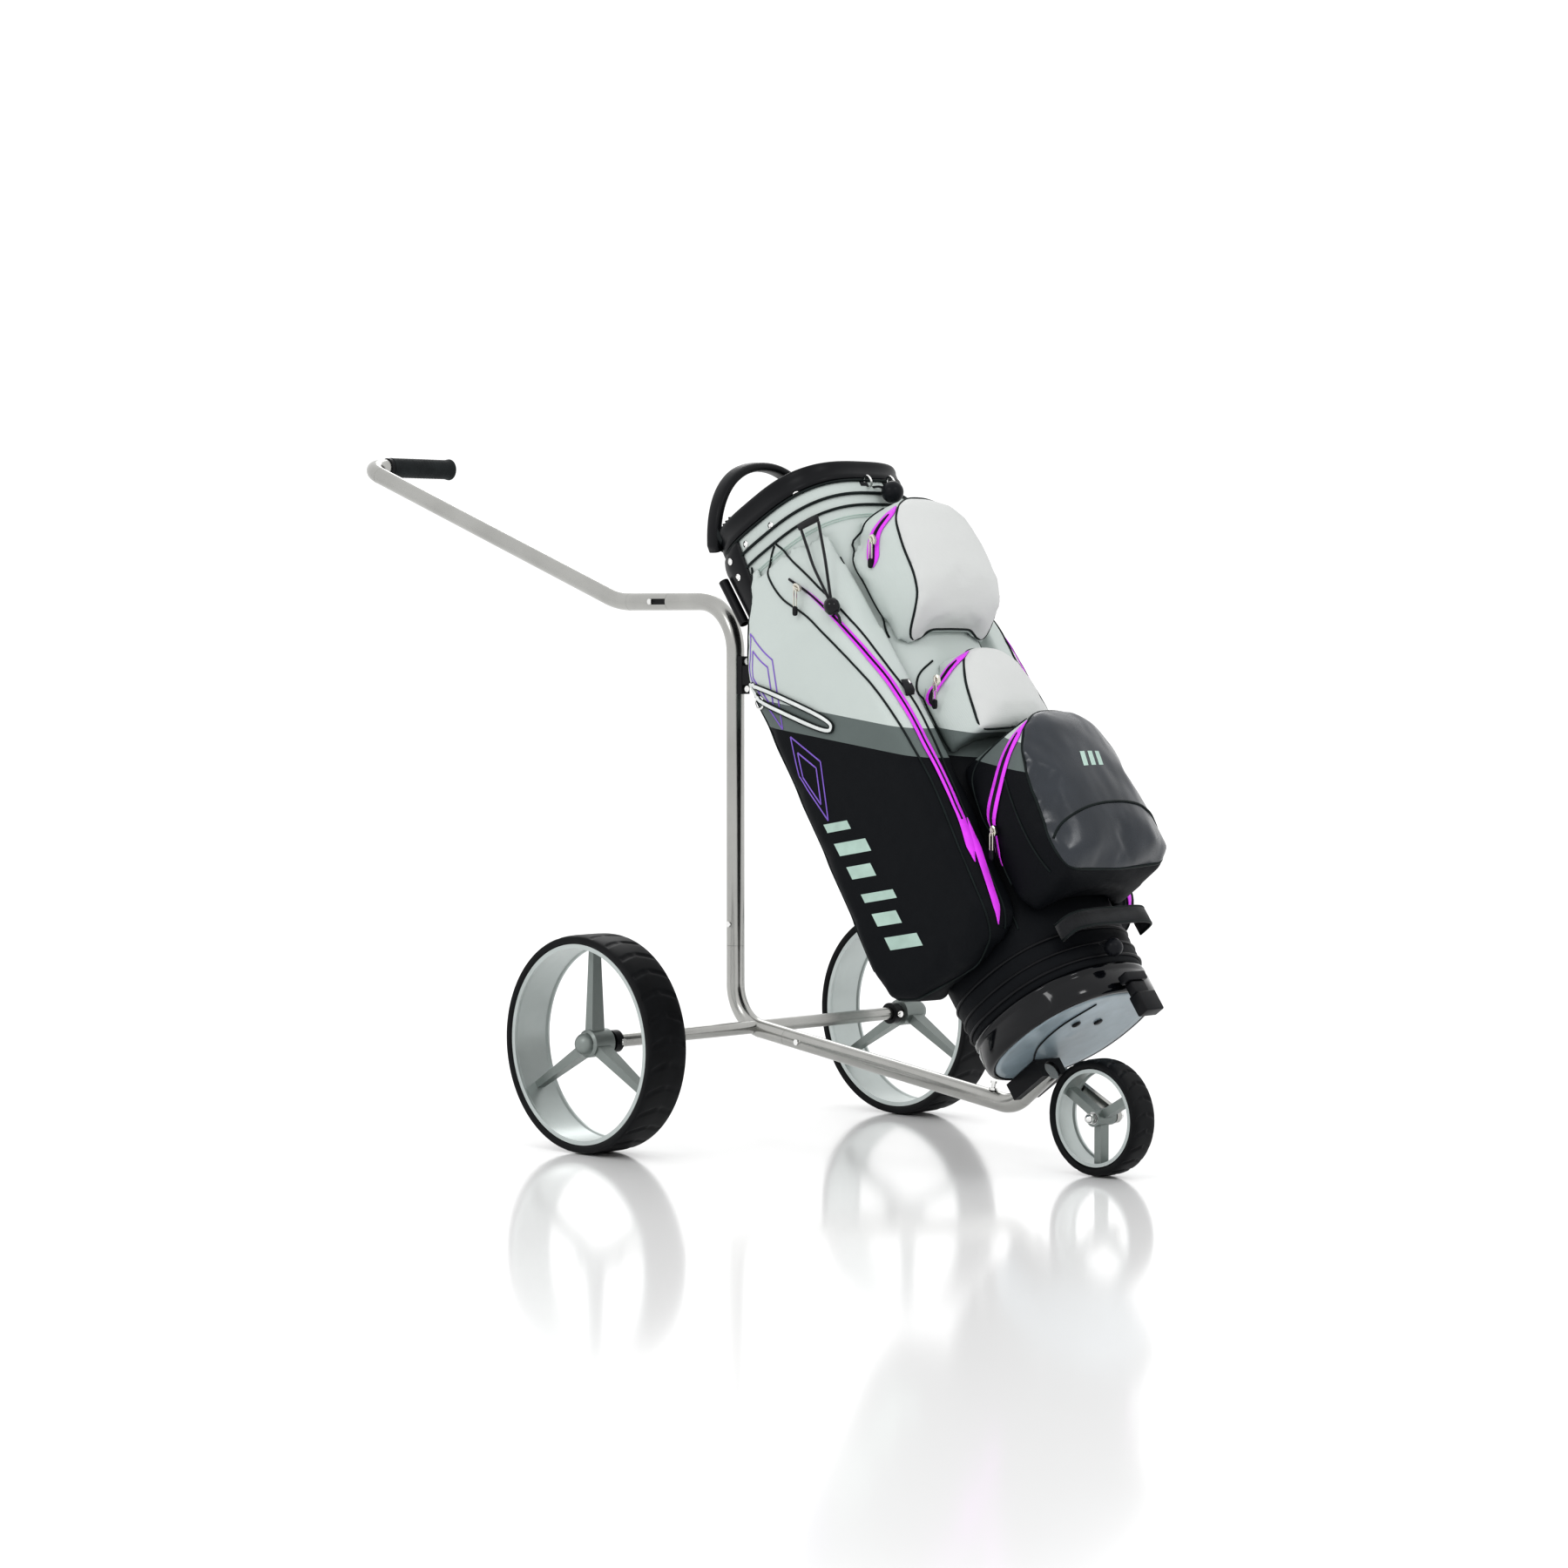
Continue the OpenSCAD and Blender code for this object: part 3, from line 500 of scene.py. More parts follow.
def seam_band(points, trees, width, thick=0.8, lift=0.2, step=5.0, taper=None):
    """A flat tape laid on a surface, narrowed at its ends by taper."""
    path, normals = snapped(smooth_path(points, step), trees, lift)
    path = eased(path, 2)
    widths = None
    if taper:
        count = len(path) - 1
        widths = [
            min(1.0, 0.12 + (i / count) / taper[0] if taper[0] else 1.0,
                0.12 + (1 - i / count) / taper[1] if taper[1] else 1.0)
            for i in range(count + 1)
        ]
    return sweep(path, flat_section(width, thick), normals, widths=widths)


# ---------- bag body ----------

def superellipse(angle, a, b, n):
    c, s = math.cos(angle), math.sin(angle)
    return (a * math.copysign(abs(c) ** (2 / n), c), b * math.copysign(abs(s) ** (2 / n), s))


def body_point(angle, s, grow=0.0):
    """Point on the bag's shell at an angle round the axis and a height along it."""
    k = s / BAG_LEN
    a = BASE_HALF[0] + (TOP_HALF[0] - BASE_HALF[0]) * k + grow
    b = BASE_HALF[1] + (TOP_HALF[1] - BASE_HALF[1]) * k + grow
    x, y = superellipse(angle, a, b, 2.3 + 0.7 * k)
    return Vector((x + TOP_SHIFT * k, y, s))


def collar_drop(e):
    """How much lower the tilted collar is at the reach e."""
    return -math.tan(COLLAR_TILT) * (e - TOP_SHIFT)


def soft_fold(p, size=1.6):
    """Shallow cloth unevenness, drawn out along the bag."""
    q = Vector((p.x * 0.018, p.y * 0.018, p.z * 0.0065))
    return size * noise.noise(q) + 0.5 * size * noise.noise(q * 2.3 + Vector((4, 1, 7)))


def build_body():
    """Cloth tube from the moulded foot to the tilted collar, with two soft rolls above the foot."""
    around, up = 128, 110
    foot, thick = 41.0, 3.0
    sink = 0.8
    rolls = ((62, 7, 1.6), (84, 5, 1.2))
    verts = []
    for j in range(up + 1):
        for t in turn_angles(around):
            rough = body_point(t, foot + (BAG_LEN - foot) * j / up)
            top = BAG_LEN + collar_drop(rough.x)
            p = body_point(t, foot + (top - foot) * j / up)
            edge = min(1, j / 8, (up - j) / 22)
            out = Vector((p.x, p.y, 0)).normalized()
            waist = sum(size * math.exp(-((p.z - at) / wide) ** 2) for at, wide, size in rolls)
            verts.append(p + out * (soft_fold(p) * edge + waist - sink))
    faces = loop_faces(up + 1, around)
    inner = len(verts)
    verts += [p - Vector((p.x, p.y, 0)).normalized() * thick for p in verts]
    faces += [tuple(reversed(f)) for f in loop_faces(up + 1, around, start=inner)]
    last = up * around
    for i in range(around):
        k = (i + 1) % around
        faces.append((last + i, last + k, inner + last + k, inner + last + i))
        faces.append((k, i, inner + i, inner + k))
    return add_piece("bag_shell", verts, faces, FABRIC, slot="pale_fabric", replaces=["bag_body"])


BODY = build_body()
BODY_TREE = tree_of(BODY)


def collar_line(drop, angle_from=0, angle_to=360, grow=0.0, count=96):
    """Points round the bag at a distance below the collar's edge, following its tilt."""
    out = []
    for i in range(count + 1):
        t = math.radians(angle_from + (angle_to - angle_from) * i / count)
        p = body_point(t, BAG_LEN - drop, grow)
        out.append(body_point(t, BAG_LEN - drop + collar_drop(p.x), grow))
    return out


def build_collar_seams():
    parts = []
    for drop, radius in ((3, 1.9), (24, 2.1), (43, 1.9)):
        path = collar_line(drop, grow=1.2)[:-1]
        parts.append(sweep(path, round_section(radius), closed=True))
    add_piece("collar_piping", *join_parts(parts), PIPING, slot="collar_plastic")
    stitch = []
    for drop in (58, 61.5):
        path = collar_line(drop, grow=0.5)[:-1]
        stitch.append(sweep(path, round_section(0.5, 5), closed=True))
    add_piece("collar_stitching", *join_parts(stitch), SAGE, slot="pale_fabric")


build_collar_seams()


def build_foot_rings():
    """Piped rings round the foot of the bag, above the moulded base."""
    parts = []
    for height, radius in ((52, 2.0), (70, 1.7), (92, 1.9)):
        path = [body_point(a, height, 0.6) for a in turn_angles(96)]
        parts.append(sweep(path, round_section(radius), closed=True))
    add_piece("foot_rings", *join_parts(parts), BLACK_PLASTIC, slot="collar_plastic")


build_foot_rings()


def lathe(profile, sides=24):
    """A turned solid from (radius, height) pairs; radius zero closes an end."""
    verts, faces, rings = [], [], []
    for r, h in profile:
        if r < 1e-6:
            rings.append([len(verts)])
            verts.append(Vector((0, 0, h)))
        else:
            rings.append(list(range(len(verts), len(verts) + sides)))
            verts += [Vector((r * math.cos(a), r * math.sin(a), h)) for a in turn_angles(sides)]
    for a, b in zip(rings, rings[1:]):
        for i in range(sides):
            k = (i + 1) % sides
            if len(a) == 1:
                faces.append((a[0], b[k], b[i]))
            elif len(b) == 1:
                faces.append((a[i], a[k], b[0]))
            else:
                faces.append((a[i], a[k], b[k], b[i]))
    return verts, faces


def placed(part, at, normal=(0, 0, 1), turn=0.0):
    verts, faces = part
    turned = Vector(normal).to_track_quat("Z", "Y").to_matrix() @ Matrix.Rotation(turn, 3, "Z")
    return [turned @ Vector(v) + Vector(at) for v in verts], faces


RIVET = [(0, 2.6), (1.6, 2.5), (2.6, 1.7), (3.0, 0.9), (4.6, 0.8), (5.0, 0.2), (4.8, -1.0), (0, -1.0)]


def rivets(name, spots, trees):
    parts = []
    for spot in spots:
        points, normals = snapped([Vector(spot)], trees, 0.4)
        parts.append(placed(lathe(RIVET, 20), points[0], normals[0]))
    add_piece(name, *join_parts(parts), CHROME, slot="bright_metal")


COLLAR_RIVETS = [(24, 108, 791), (-30, 108, 800), (80, 99, 803)]
rivets("collar_rivets", [(x, y * side, z) for side in (-1, 1) for x, y, z in COLLAR_RIVETS], [BODY_TREE])


# ---------- collar rim, dividers and handle ----------

def build_rim():
    """Moulded rim with a rolled lip that dips a little at the front."""
    around, height = 144, 32
    profile = [(1.0, 0), (2.6, 1.5), (2.8, 7), (1.6, 10), (1.6, 22), (2.6, 26), (2.2, 30), (0, 32), (-4, 32),
               (-8, 30), (-9.6, 26), (-9.8, 12), (-9.8, -16), (-6, -18), (-3.4, -14), (-3.2, 0)]
    verts = []
    for grow, h in profile:
        for t in turn_angles(around):
            x, y = superellipse(t, TOP_HALF[0] + grow, TOP_HALF[1] + grow, 3)
            front_dip = 4.0 * max(0.0, math.cos(t)) ** 2 if h > 20 else 0.0
            verts.append(COLLAR_MM @ Vector((x, y, h * (height - front_dip) / height)))
    faces = loop_faces(len(profile), around, wrap=True)
    add_piece("collar_rim", verts, faces, BLACK_PLASTIC, slot="collar_plastic", replaces=["collar_ring"])


build_rim()


def build_rim_ribs():
    """Rubber ribs on top of the rim, on its rear half."""
    parts = []
    count, first, span, inset = 34, 104, 152, 3.5
    for i in range(count):
        t = math.radians(first + i * span / (count - 1))
        x, y = superellipse(t, TOP_HALF[0] - inset, TOP_HALF[1] - inset, 3)
        out = Vector((math.cos(t), math.sin(t), 0))
        path = [COLLAR_MM @ (Vector((x, y, 32.6)) + out * d) for d in (-4.5, 0, 4.5)]
        parts.append(sweep(path, round_section(1.3, 6)))
    add_piece("rim_ribs", *join_parts(parts), BLACK_PLASTIC, slot="collar_plastic")


build_rim_ribs()


def build_dividers():
    """Fleece-wrapped bars that make the fourteen wells."""
    pitch = (TOP_HALF[0] - 9) / 2
    inner_a, inner_b = TOP_HALF[0] - 10.2, TOP_HALF[1] - 10.2
    bar_t, top, low = 7.0, 28.0, 4.0
    section = [(-bar_t / 2, low), (bar_t / 2, low), (bar_t / 2, top - 3), (bar_t / 4, top - 0.6),
               (0, top), (-bar_t / 4, top - 0.6), (-bar_t / 2, top - 3)]

    def reach_y(x):
        return inner_b * (1 - min(1, abs(x) / inner_a) ** 3) ** (1 / 3)

    def bar(a, b):
        start, end = Vector((*a, 0)), Vector((*b, 0))
        count = 10
        path = [start.lerp(end, i / count) for i in range(count + 1)]
        verts, faces = sweep(path, section, [Vector((0, 0, 1))] * len(path))
        return [COLLAR_MM @ v for v in verts], faces

    parts = []
    for k in (-1, 0, 1):
        y = reach_y(k * pitch)
        parts.append(bar((k * pitch, -y), (k * pitch, y)))
    for row, splits in enumerate(((-33, 33), (-50, 0, 50), (-50, 0, 50), (-33, 33))):
        for y in splits:
            edge = inner_a * (1 - (abs(y) / inner_b) ** 3) ** (1 / 3)
            a = max((row - 2) * pitch, -edge)
            b = min((row - 1) * pitch, edge)
            parts.append(bar((a, y), (b, y)))
    add_piece("divider_bars", *join_parts(parts), DARK_FLEECE, slot="collar_plastic", replaces=["divider_grid"])


build_dividers()


def build_handle():
    """Bail over the rear of the collar: wide soft band, thinner towards its feet."""
    half, height = 95.0, 100.0
    upright = Matrix.Translation((-85, 0, 850)) @ Matrix.Rotation(LEAN, 4, "Y")
    path, normals = [], []
    count = 64
    for i in range(count + 1):
        t = math.pi * i / count
        y, z = superellipse(t, half, height, 2.15)
        lean_in = -9 * math.sin(t) ** 2
        path.append(upright @ Vector((lean_in, y, z)))
        normals.append((upright.to_3x3() @ Vector((0, y / half ** 2, z / height ** 2 + 1e-6))).normalized())
    low = [upright @ Vector((0, half, -8)), upright @ Vector((0, half - 4, -16))]
    path = [low[1], low[0], *path, upright @ Vector((0, -half, -8)), upright @ Vector((0, 4 - half, -16))]
    normals = [normals[0]] * 2 + normals + [normals[-1]] * 2
    section = [(11 * math.copysign(abs(math.cos(a)) ** 0.6, math.cos(a)),
                6.5 * math.copysign(abs(math.sin(a)) ** 0.8, math.sin(a)))
               for a in turn_angles(20)]
    widths = [1.0 + 0.28 * math.sin(math.pi * i / (len(path) - 1)) ** 2 for i in range(len(path))]
    return sweep(path, section, normals, widths=widths)


def build_finger_grip():
    """Wavy soft grip on the rim below the bail."""
    verts = []
    around, rows, waves = 60, 9, 7
    first, span = 122, 116
    for j in range(rows):
        v = j / (rows - 1)
        for i in range(around + 1):
            t = math.radians(first + span * i / around)
            wave = 4.5 * math.cos(i / around * math.pi * 2 * waves)
            end = math.sin(math.pi * i / around) ** 0.4
            bulge = math.sin(math.pi * v)
            x, y = superellipse(t, TOP_HALF[0] + 2 + 9 * bulge * end, TOP_HALF[1] + 2 + 9 * bulge * end, 3)
            h = 20 + (v - 0.2) * (20 + (9 + wave) * end)
            verts.append(COLLAR_MM @ Vector((x, y, h)))
    n = around + 1
    faces = loop_faces(rows, n, closed=False)
    for i in range(around):
        faces.append((i + 1, i, (rows - 1) * n + i, (rows - 1) * n + i + 1))
    faces.append(tuple(j * n for j in range(rows)))
    faces.append(tuple(j * n + around for j in reversed(range(rows))))
    return verts, faces


def build_spine():
    """Moulded rear panel that carries the bail, with a softened edge all round."""
    count, rows, foot = 56, 26, 640
    verts = []

    def edge_share(u, v):
        return min(1, min(u, 1 - u) * 9, min(v, 1 - v) * 10)

    for layer in (0, 1):
        for j in range(rows + 1):
            v = j / rows
            for i in range(count + 1):
                u = i / count
                spread = 62 + 15 * v
                t = math.radians(180 - spread + 2 * spread * u)
                lift = 1.4 + 7.4 * math.sqrt(max(0.0, edge_share(u, v))) if layer else 0.9
                p = body_point(t, foot + (BAG_LEN - 2 - foot) * v, lift)
                p.z += v * collar_drop(p.x)
                verts.append(p)
    n = count + 1
    size = n * (rows + 1)
    faces = [tuple(reversed(f)) for f in loop_faces(rows + 1, n, closed=False)]
    faces += loop_faces(rows + 1, n, closed=False, start=size)
    rim = ([(j * n, (j + 1) * n) for j in range(rows)]
           + [(rows * n + i, rows * n + i + 1) for i in range(count)]
           + [((j + 1) * n + count, j * n + count) for j in range(rows)]
           + [(i + 1, i) for i in range(count)])
    faces += [(a, b, b + size, a + size) for a, b in rim]
    return verts, faces


SPINE = add_piece("spine_panel", *build_spine(), BLACK_PLASTIC, slot="collar_plastic", replaces=["grab_handle"])
add_piece("grab_bail", *build_handle(), BLACK_PLASTIC, slot="collar_plastic")
add_piece("finger_grip", *build_finger_grip(), GRIP_RUBBER, slot="collar_plastic")
rivets("spine_rivets", [(-66, y, z) for y in (-104, 104) for z in (798, 772)], [tree_of(SPINE)])


# ---------- pockets ----------

def padded_from_cad(node, inset, voxel, cap, pressure, relax):
    """Copies a CAD pocket, shrinks it a little and lets cloth under pressure fill it out."""
    to_bag = BAG.inverted()
    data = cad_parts[node].data.copy()
    data.transform(to_bag)
    piece = bpy.data.objects.new(f"{node}_cloth", data)
    bpy.context.scene.collection.objects.link(piece)
    bm = bmesh.new()
    bm.from_mesh(data)
    bmesh.ops.remove_doubles(bm, verts=bm.verts, dist=1e-5)
    centre = sum((v.co for v in bm.verts), Vector()) / len(bm.verts)
    reach = max((v.co - centre).length for v in bm.verts)
    for v in bm.verts:
        v.co += (centre - v.co) * (inset * MM / reach)
    bm.to_mesh(data)
    bm.free()
    remesh = piece.modifiers.new("remesh", "REMESH")
    remesh.mode = "VOXEL"
    remesh.voxel_size = voxel * MM
    soften = piece.modifiers.new("soften", "SMOOTH")
    soften.factor, soften.iterations = 0.5, relax
    apply_modifiers(piece)
    puff(piece, pressure, cap * MM)
    return piece


def apply_modifiers(piece):
    graph = bpy.context.evaluated_depsgraph_get()
    made = bpy.data.meshes.new_from_object(piece.evaluated_get(graph))
    piece.modifiers.clear()
    piece.data = made


def puff(piece, pressure, cap):
    """Cloth simulation under inner pressure, with each point's move capped."""
    rest = np.array([v.co for v in piece.data.vertices])
    cloth = piece.modifiers.new("cloth", "CLOTH")
    settings = cloth.settings
    settings.use_pressure = True
    settings.uniform_pressure_force = pressure
    settings.quality = 5
    settings.mass = 0.3
    settings.tension_stiffness = 18
    settings.compression_stiffness = 14
    settings.shear_stiffness = 8
    settings.bending_stiffness = 1.2
    settings.effector_weights.gravity = 0
    scene = bpy.context.scene
    for step in range(1, 17):
        scene.frame_set(step)
    graph = bpy.context.evaluated_depsgraph_get()
    moved = np.array([v.co for v in piece.evaluated_get(graph).data.vertices])
    piece.modifiers.clear()
    scene.frame_set(1)
    shift = moved - rest
    length = np.linalg.norm(shift, axis=1, keepdims=True)
    shift *= np.minimum(1, cap / np.maximum(length, 1e-9))
    piece.data.vertices.foreach_set("co", (rest + shift).astype(np.float32).ravel())
    piece.data.update()


def cut_along(piece, edge_of, material):
    """Splits a pocket where its reach passes edge_of(height), and returns the cut in millimetres.

    The part beyond the cut takes the second material."""
    bm = bmesh.new()
    bm.from_mesh(piece.data)
    for v in bm.verts:
        v.co.x -= edge_of(v.co.z / MM) * MM
    cut = bmesh.ops.bisect_plane(
        bm, geom=bm.verts[:] + bm.edges[:] + bm.faces[:], dist=1e-6, plane_co=(0, 0, 0), plane_no=(1, 0, 0)
    )
    piece.data.materials.append(material)
    for face in bm.faces:
        face.material_index = 1 if face.calc_center_median().x > 0 else 0
    edges = [g for g in cut["geom_cut"] if isinstance(g, bmesh.types.BMEdge)]
    loops = chained(edges)
    for v in bm.verts:
        v.co.x += edge_of(v.co.z / MM) * MM
    loops = [[v.co / MM for v in loop] for loop in loops]
    bm.to_mesh(piece.data)
    bm.free()
    return max(loops, key=len)


def chained(edges):
    """Vertex chains from a set of edges."""
    nexts = {}
    for e in edges:
        a, b = e.verts
        nexts.setdefault(a, []).append(b)
        nexts.setdefault(b, []).append(a)
    loops, seen = [], set()
    for start in nexts:
        if start in seen:
            continue
        chain, here = [start], start
        seen.add(start)
        while True:
            ahead = [v for v in nexts[here] if v not in seen]
            if not ahead:
                break
            here = ahead[0]
            seen.add(here)
            chain.append(here)
        loops.append(chain)
    return loops


def thinned(points, step):
    """The points that are at least step apart."""
    out = [points[0]]
    for p in points[1:]:
        if (p - out[-1]).length >= step:
            out.append(p)
    return out


def interpolated(table):
    """A function through (height, reach) pairs."""
    heights = [h for h, _ in table]
    reaches = [r for _, r in table]
    return lambda s: float(np.interp(s, heights, reaches))


def soft_piece(piece, node):
    piece.data.materials.clear()
    piece.data.materials.append(FABRIC)
    piece.data.shade_smooth()
    piece.matrix_world = BAG
    dress(piece, "bag", [node])


def front_pocket(node, outer, edge):
    """A padded front pocket with its face in a second material and piping along the join."""
    piece = padded_from_cad(node, inset=4, voxel=5.0, cap=7, pressure=4.0, relax=7)
    soft_piece(piece, node)
    loop = cut_along(piece, interpolated(edge), outer)
    piping = eased(thinned(loop, 4.0), 3, True)
    outward = Vector((1, 0, 0))
    cord = sweep([p + outward * 0.4 for p in piping], round_section(1.7), closed=True)
    add_piece(f"{node}_cloth_piping", *cord, PIPING, slot="collar_plastic")
    return tree_of(piece)


# Where each front pocket's face begins, as (height, reach) in the bag's frame
TOP_EDGE = [(500, 78), (520, 92), (540, 116), (560, 148), (575, 166), (600, 175), (660, 179), (700, 181),
            (725, 177), (745, 170)]
MIDDLE_EDGE = [(340, 146), (400, 153), (440, 156), (470, 158), (500, 150), (515, 140)]
BALL_EDGE = [(100, 187), (160, 188), (210, 191), (270, 197), (320, 205), (350, 209), (372, 200)]
TOP_TREE = front_pocket("top_pocket", FACE_FABRIC, TOP_EDGE)
MIDDLE_TREE = front_pocket("middle_pocket", FACE_FABRIC, MIDDLE_EDGE)
BALL_TREE = front_pocket("ball_pocket", LAMINATE, BALL_EDGE)


def side_pocket(node):
    piece = padded_from_cad(node, inset=3, voxel=6.0, cap=3.5, pressure=3.0, relax=5)
    soft_piece(piece, node)
    return tree_of(piece)


RIGHT_TREE = side_pocket("right_side_pocket")
LEFT_TREE = side_pocket("left_side_pocket")

# Seam lines of the right side, as (front, sideways, up) in the bag's frame
PANEL_SEAM = [(14, -108, 764), (2, -110, 757), (-8, -114, 738), (8, -134, 684), (44, -147, 624),
              (71, -150, 549), (87, -149, 490), (95, -147, 439), (98, -145, 394), (98, -142, 346),
              (94, -142, 289), (88, -143, 227),
              (82, -143, 166), (68, -136, 126), (46, -130, 112), (10, -124, 106), (-40, -132, 108),
              (-80, -140, 118), (-112, -142, 138)]
STRAIGHT_SEAM = [(18, -108, 764), (75, -134, 644), (96, -132, 566), (105, -124, 504), (109, -113, 446),
                 (108, -112, 386), (105, -115, 321), (98, -117, 233), (90, -117, 172), (74, -112, 120)]
BODY_SEAM = [(90, -90, 690), (91, -88, 611), (93, -86, 539), (92, -86, 485), (88, -88, 420), (88, -88, 344),
             (83, -91, 254), (78, -94, 165), (76, -96, 120)]
SIDE_ZIP = [(32, -130, 695), (60, -139, 647), (79, -143, 598), (96, -140, 531), (103, -133, 485),
            (107, -129, 431), (106, -127, 381), (104, -126, 328), (100, -126, 271), (92, -132, 212)]
LOWER_ZIP = [(102, -118, 272), (97, -122, 221), (90, -127, 161), (78, -126, 126)]
REAR_SEAM = [(-40, -108, 768), (-66, -124, 700), (-98, -146, 622), (-106, -148, 560), (-118, -146, 400),
             (-126, -146, 250), (-130, -144, 188)]


def mirrored(points, side):
    """Points given for the right side, at side -1, or mirrored to the left at side 1."""
    return [(x, y * -side, z) for x, y, z in points]


def build_side_trim(side, tree):
    label = "left" if side > 0 else "right"
    both = [tree, BODY_TREE]
    seams = [seam_tube(mirrored(line, side), both, 1.5, 0.5)
             for line in (PANEL_SEAM, STRAIGHT_SEAM, BODY_SEAM, REAR_SEAM)]
    add_piece(f"{label}_side_piping", *join_parts(seams), PIPING, slot="collar_plastic")
    tape = join_parts([
        seam_band(mirrored(SIDE_ZIP, side), both, 11, 1.0, 0.8, taper=(0.5, 0.05)),
        seam_band(mirrored(LOWER_ZIP, side), both, 10, 1.0, 0.9, taper=(0.3, 0.2)),
    ])
    add_piece(f"{label}_side_zip_tape", *tape, MAGENTA, slot="pale_fabric")
    add_piece(f"{label}_side_zip_coil", *seam_band(mirrored(SIDE_ZIP[:-1], side), both, 2.2, 1.6, 0.9),
              ZIP_COIL, slot="collar_plastic")


build_side_trim(-1, RIGHT_TREE)
build_side_trim(1, LEFT_TREE)


# ---------- front pocket zips and prints ----------

def pocket_zip(name, points, tree, width):
    """Zip down both sides of a front pocket: coloured tape under a black coil."""
    tapes, coils = [], []
    for side in (-1, 1):
        line = mirrored(points, side)
        tapes.append(seam_band(line, [tree], width, 1.1, 0.9, taper=(0.16, 0.1)))
        coils.append(seam_band(line[1:], [tree], 4.8, 2.0, 1.3, taper=(0.2, 0.1)))
    add_piece(f"{name}_zip_tape", *join_parts(tapes), MAGENTA, slot="pale_fabric")
    add_piece(f"{name}_zip_coil", *join_parts(coils), ZIP_COIL, slot="collar_plastic")


TOP_ZIP = [(180, -52, 716), (174, -66, 706), (163, -74, 699), (152, -80, 689), (144, -84, 673), (137, -87, 656),
           (131, -90, 643)]
MIDDLE_ZIP = [(160, -30, 493), (151, -50, 486), (141, -66, 477), (130, -78, 467), (120, -86, 458),
              (114, -91, 448), (113, -93, 436)]
BALL_ZIP = [(212, -60, 354), (200, -76, 340), (180, -88, 318), (155, -97, 288), (132, -102, 262),
            (115, -105, 238), (101, -106, 214), (97, -106, 198)]
pocket_zip("top", TOP_ZIP, TOP_TREE, 18)
pocket_zip("middle", MIDDLE_ZIP, MIDDLE_TREE, 15)
pocket_zip("ball", BALL_ZIP, BALL_TREE, 18)


TOP_GUSSET = [(150, -36, 730), (124, -74, 716), (108, -86, 690), (103, -90, 650), (101, -88, 600),
              (100, -86, 556)]
MIDDLE_GUSSET = [(124, -50, 506), (108, -76, 492), (100, -88, 466), (98, -92, 420), (98, -94, 372)]
BALL_GUSSET = [(196, -36, 364), (160, -72, 356), (122, -92, 336), (104, -102, 296), (98, -104, 236),
               (96, -104, 170)]
BALL_UPRIGHT = [(168, -98, 300), (164, -102, 240), (162, -104, 190), (164, -103, 146)]


def front_seams():
    """Gusset seams behind the zips, and the ball pocket's upright and underside seams."""
    seams = []
    for side in (-1, 1):
        for line, tree in ((TOP_GUSSET, TOP_TREE), (MIDDLE_GUSSET, MIDDLE_TREE), (BALL_GUSSET, BALL_TREE),
                           (BALL_UPRIGHT, BALL_TREE)):
            seams.append(seam_tube(mirrored(line, side), [tree, BODY_TREE], 1.4, 0.5))
    cap = [(196, -103, 178), (206, -92, 190), (216, -60, 200), (222, -24, 205)]
    cap += [(e, -y, s) for e, y, s in reversed(cap)]
    seams.append(seam_tube(cap, [BALL_TREE], 1.7, 0.6))
    add_piece("front_pocket_seams", *join_parts(seams), PIPING, slot="collar_plastic")


front_seams()


def print_patch(outline, tree, lift=0.25, cell=5.0):
    """A thin printed shape: an outline near the cloth, cut into small cells and laid on it."""
    bm = bmesh.new()
    face = bm.faces.new([bm.verts.new(Vector(p)) for p in outline])
    bmesh.ops.triangulate(bm, faces=[face])
    longest = max(e.calc_length() for e in bm.edges)
    while longest > cell and len(bm.faces) < 3000:
        bmesh.ops.subdivide_edges(bm, edges=[e for e in bm.edges if e.calc_length() > cell], cuts=1)
        bmesh.ops.triangulate(bm, faces=bm.faces[:])
        longest = max(e.calc_length() for e in bm.edges)
    points = snapped([v.co.copy() for v in bm.verts], [tree], lift)[0]
    index = {v: i for i, v in enumerate(bm.verts)}
    faces = [tuple(index[v] for v in f.verts) for f in bm.faces]
    bm.free()
    return points, faces


def slanted_bar(e, s, length, width, slant, y=-160):
    """A leaning bar in the side's (front, up) plane."""
    along = Vector((math.cos(slant), 0, math.sin(slant)))
    across = Vector((0.0, 0, 1.0)) * width
    start = Vector((e, y, s))
    return [start, start + along * length, start + along * length + across, start + across]


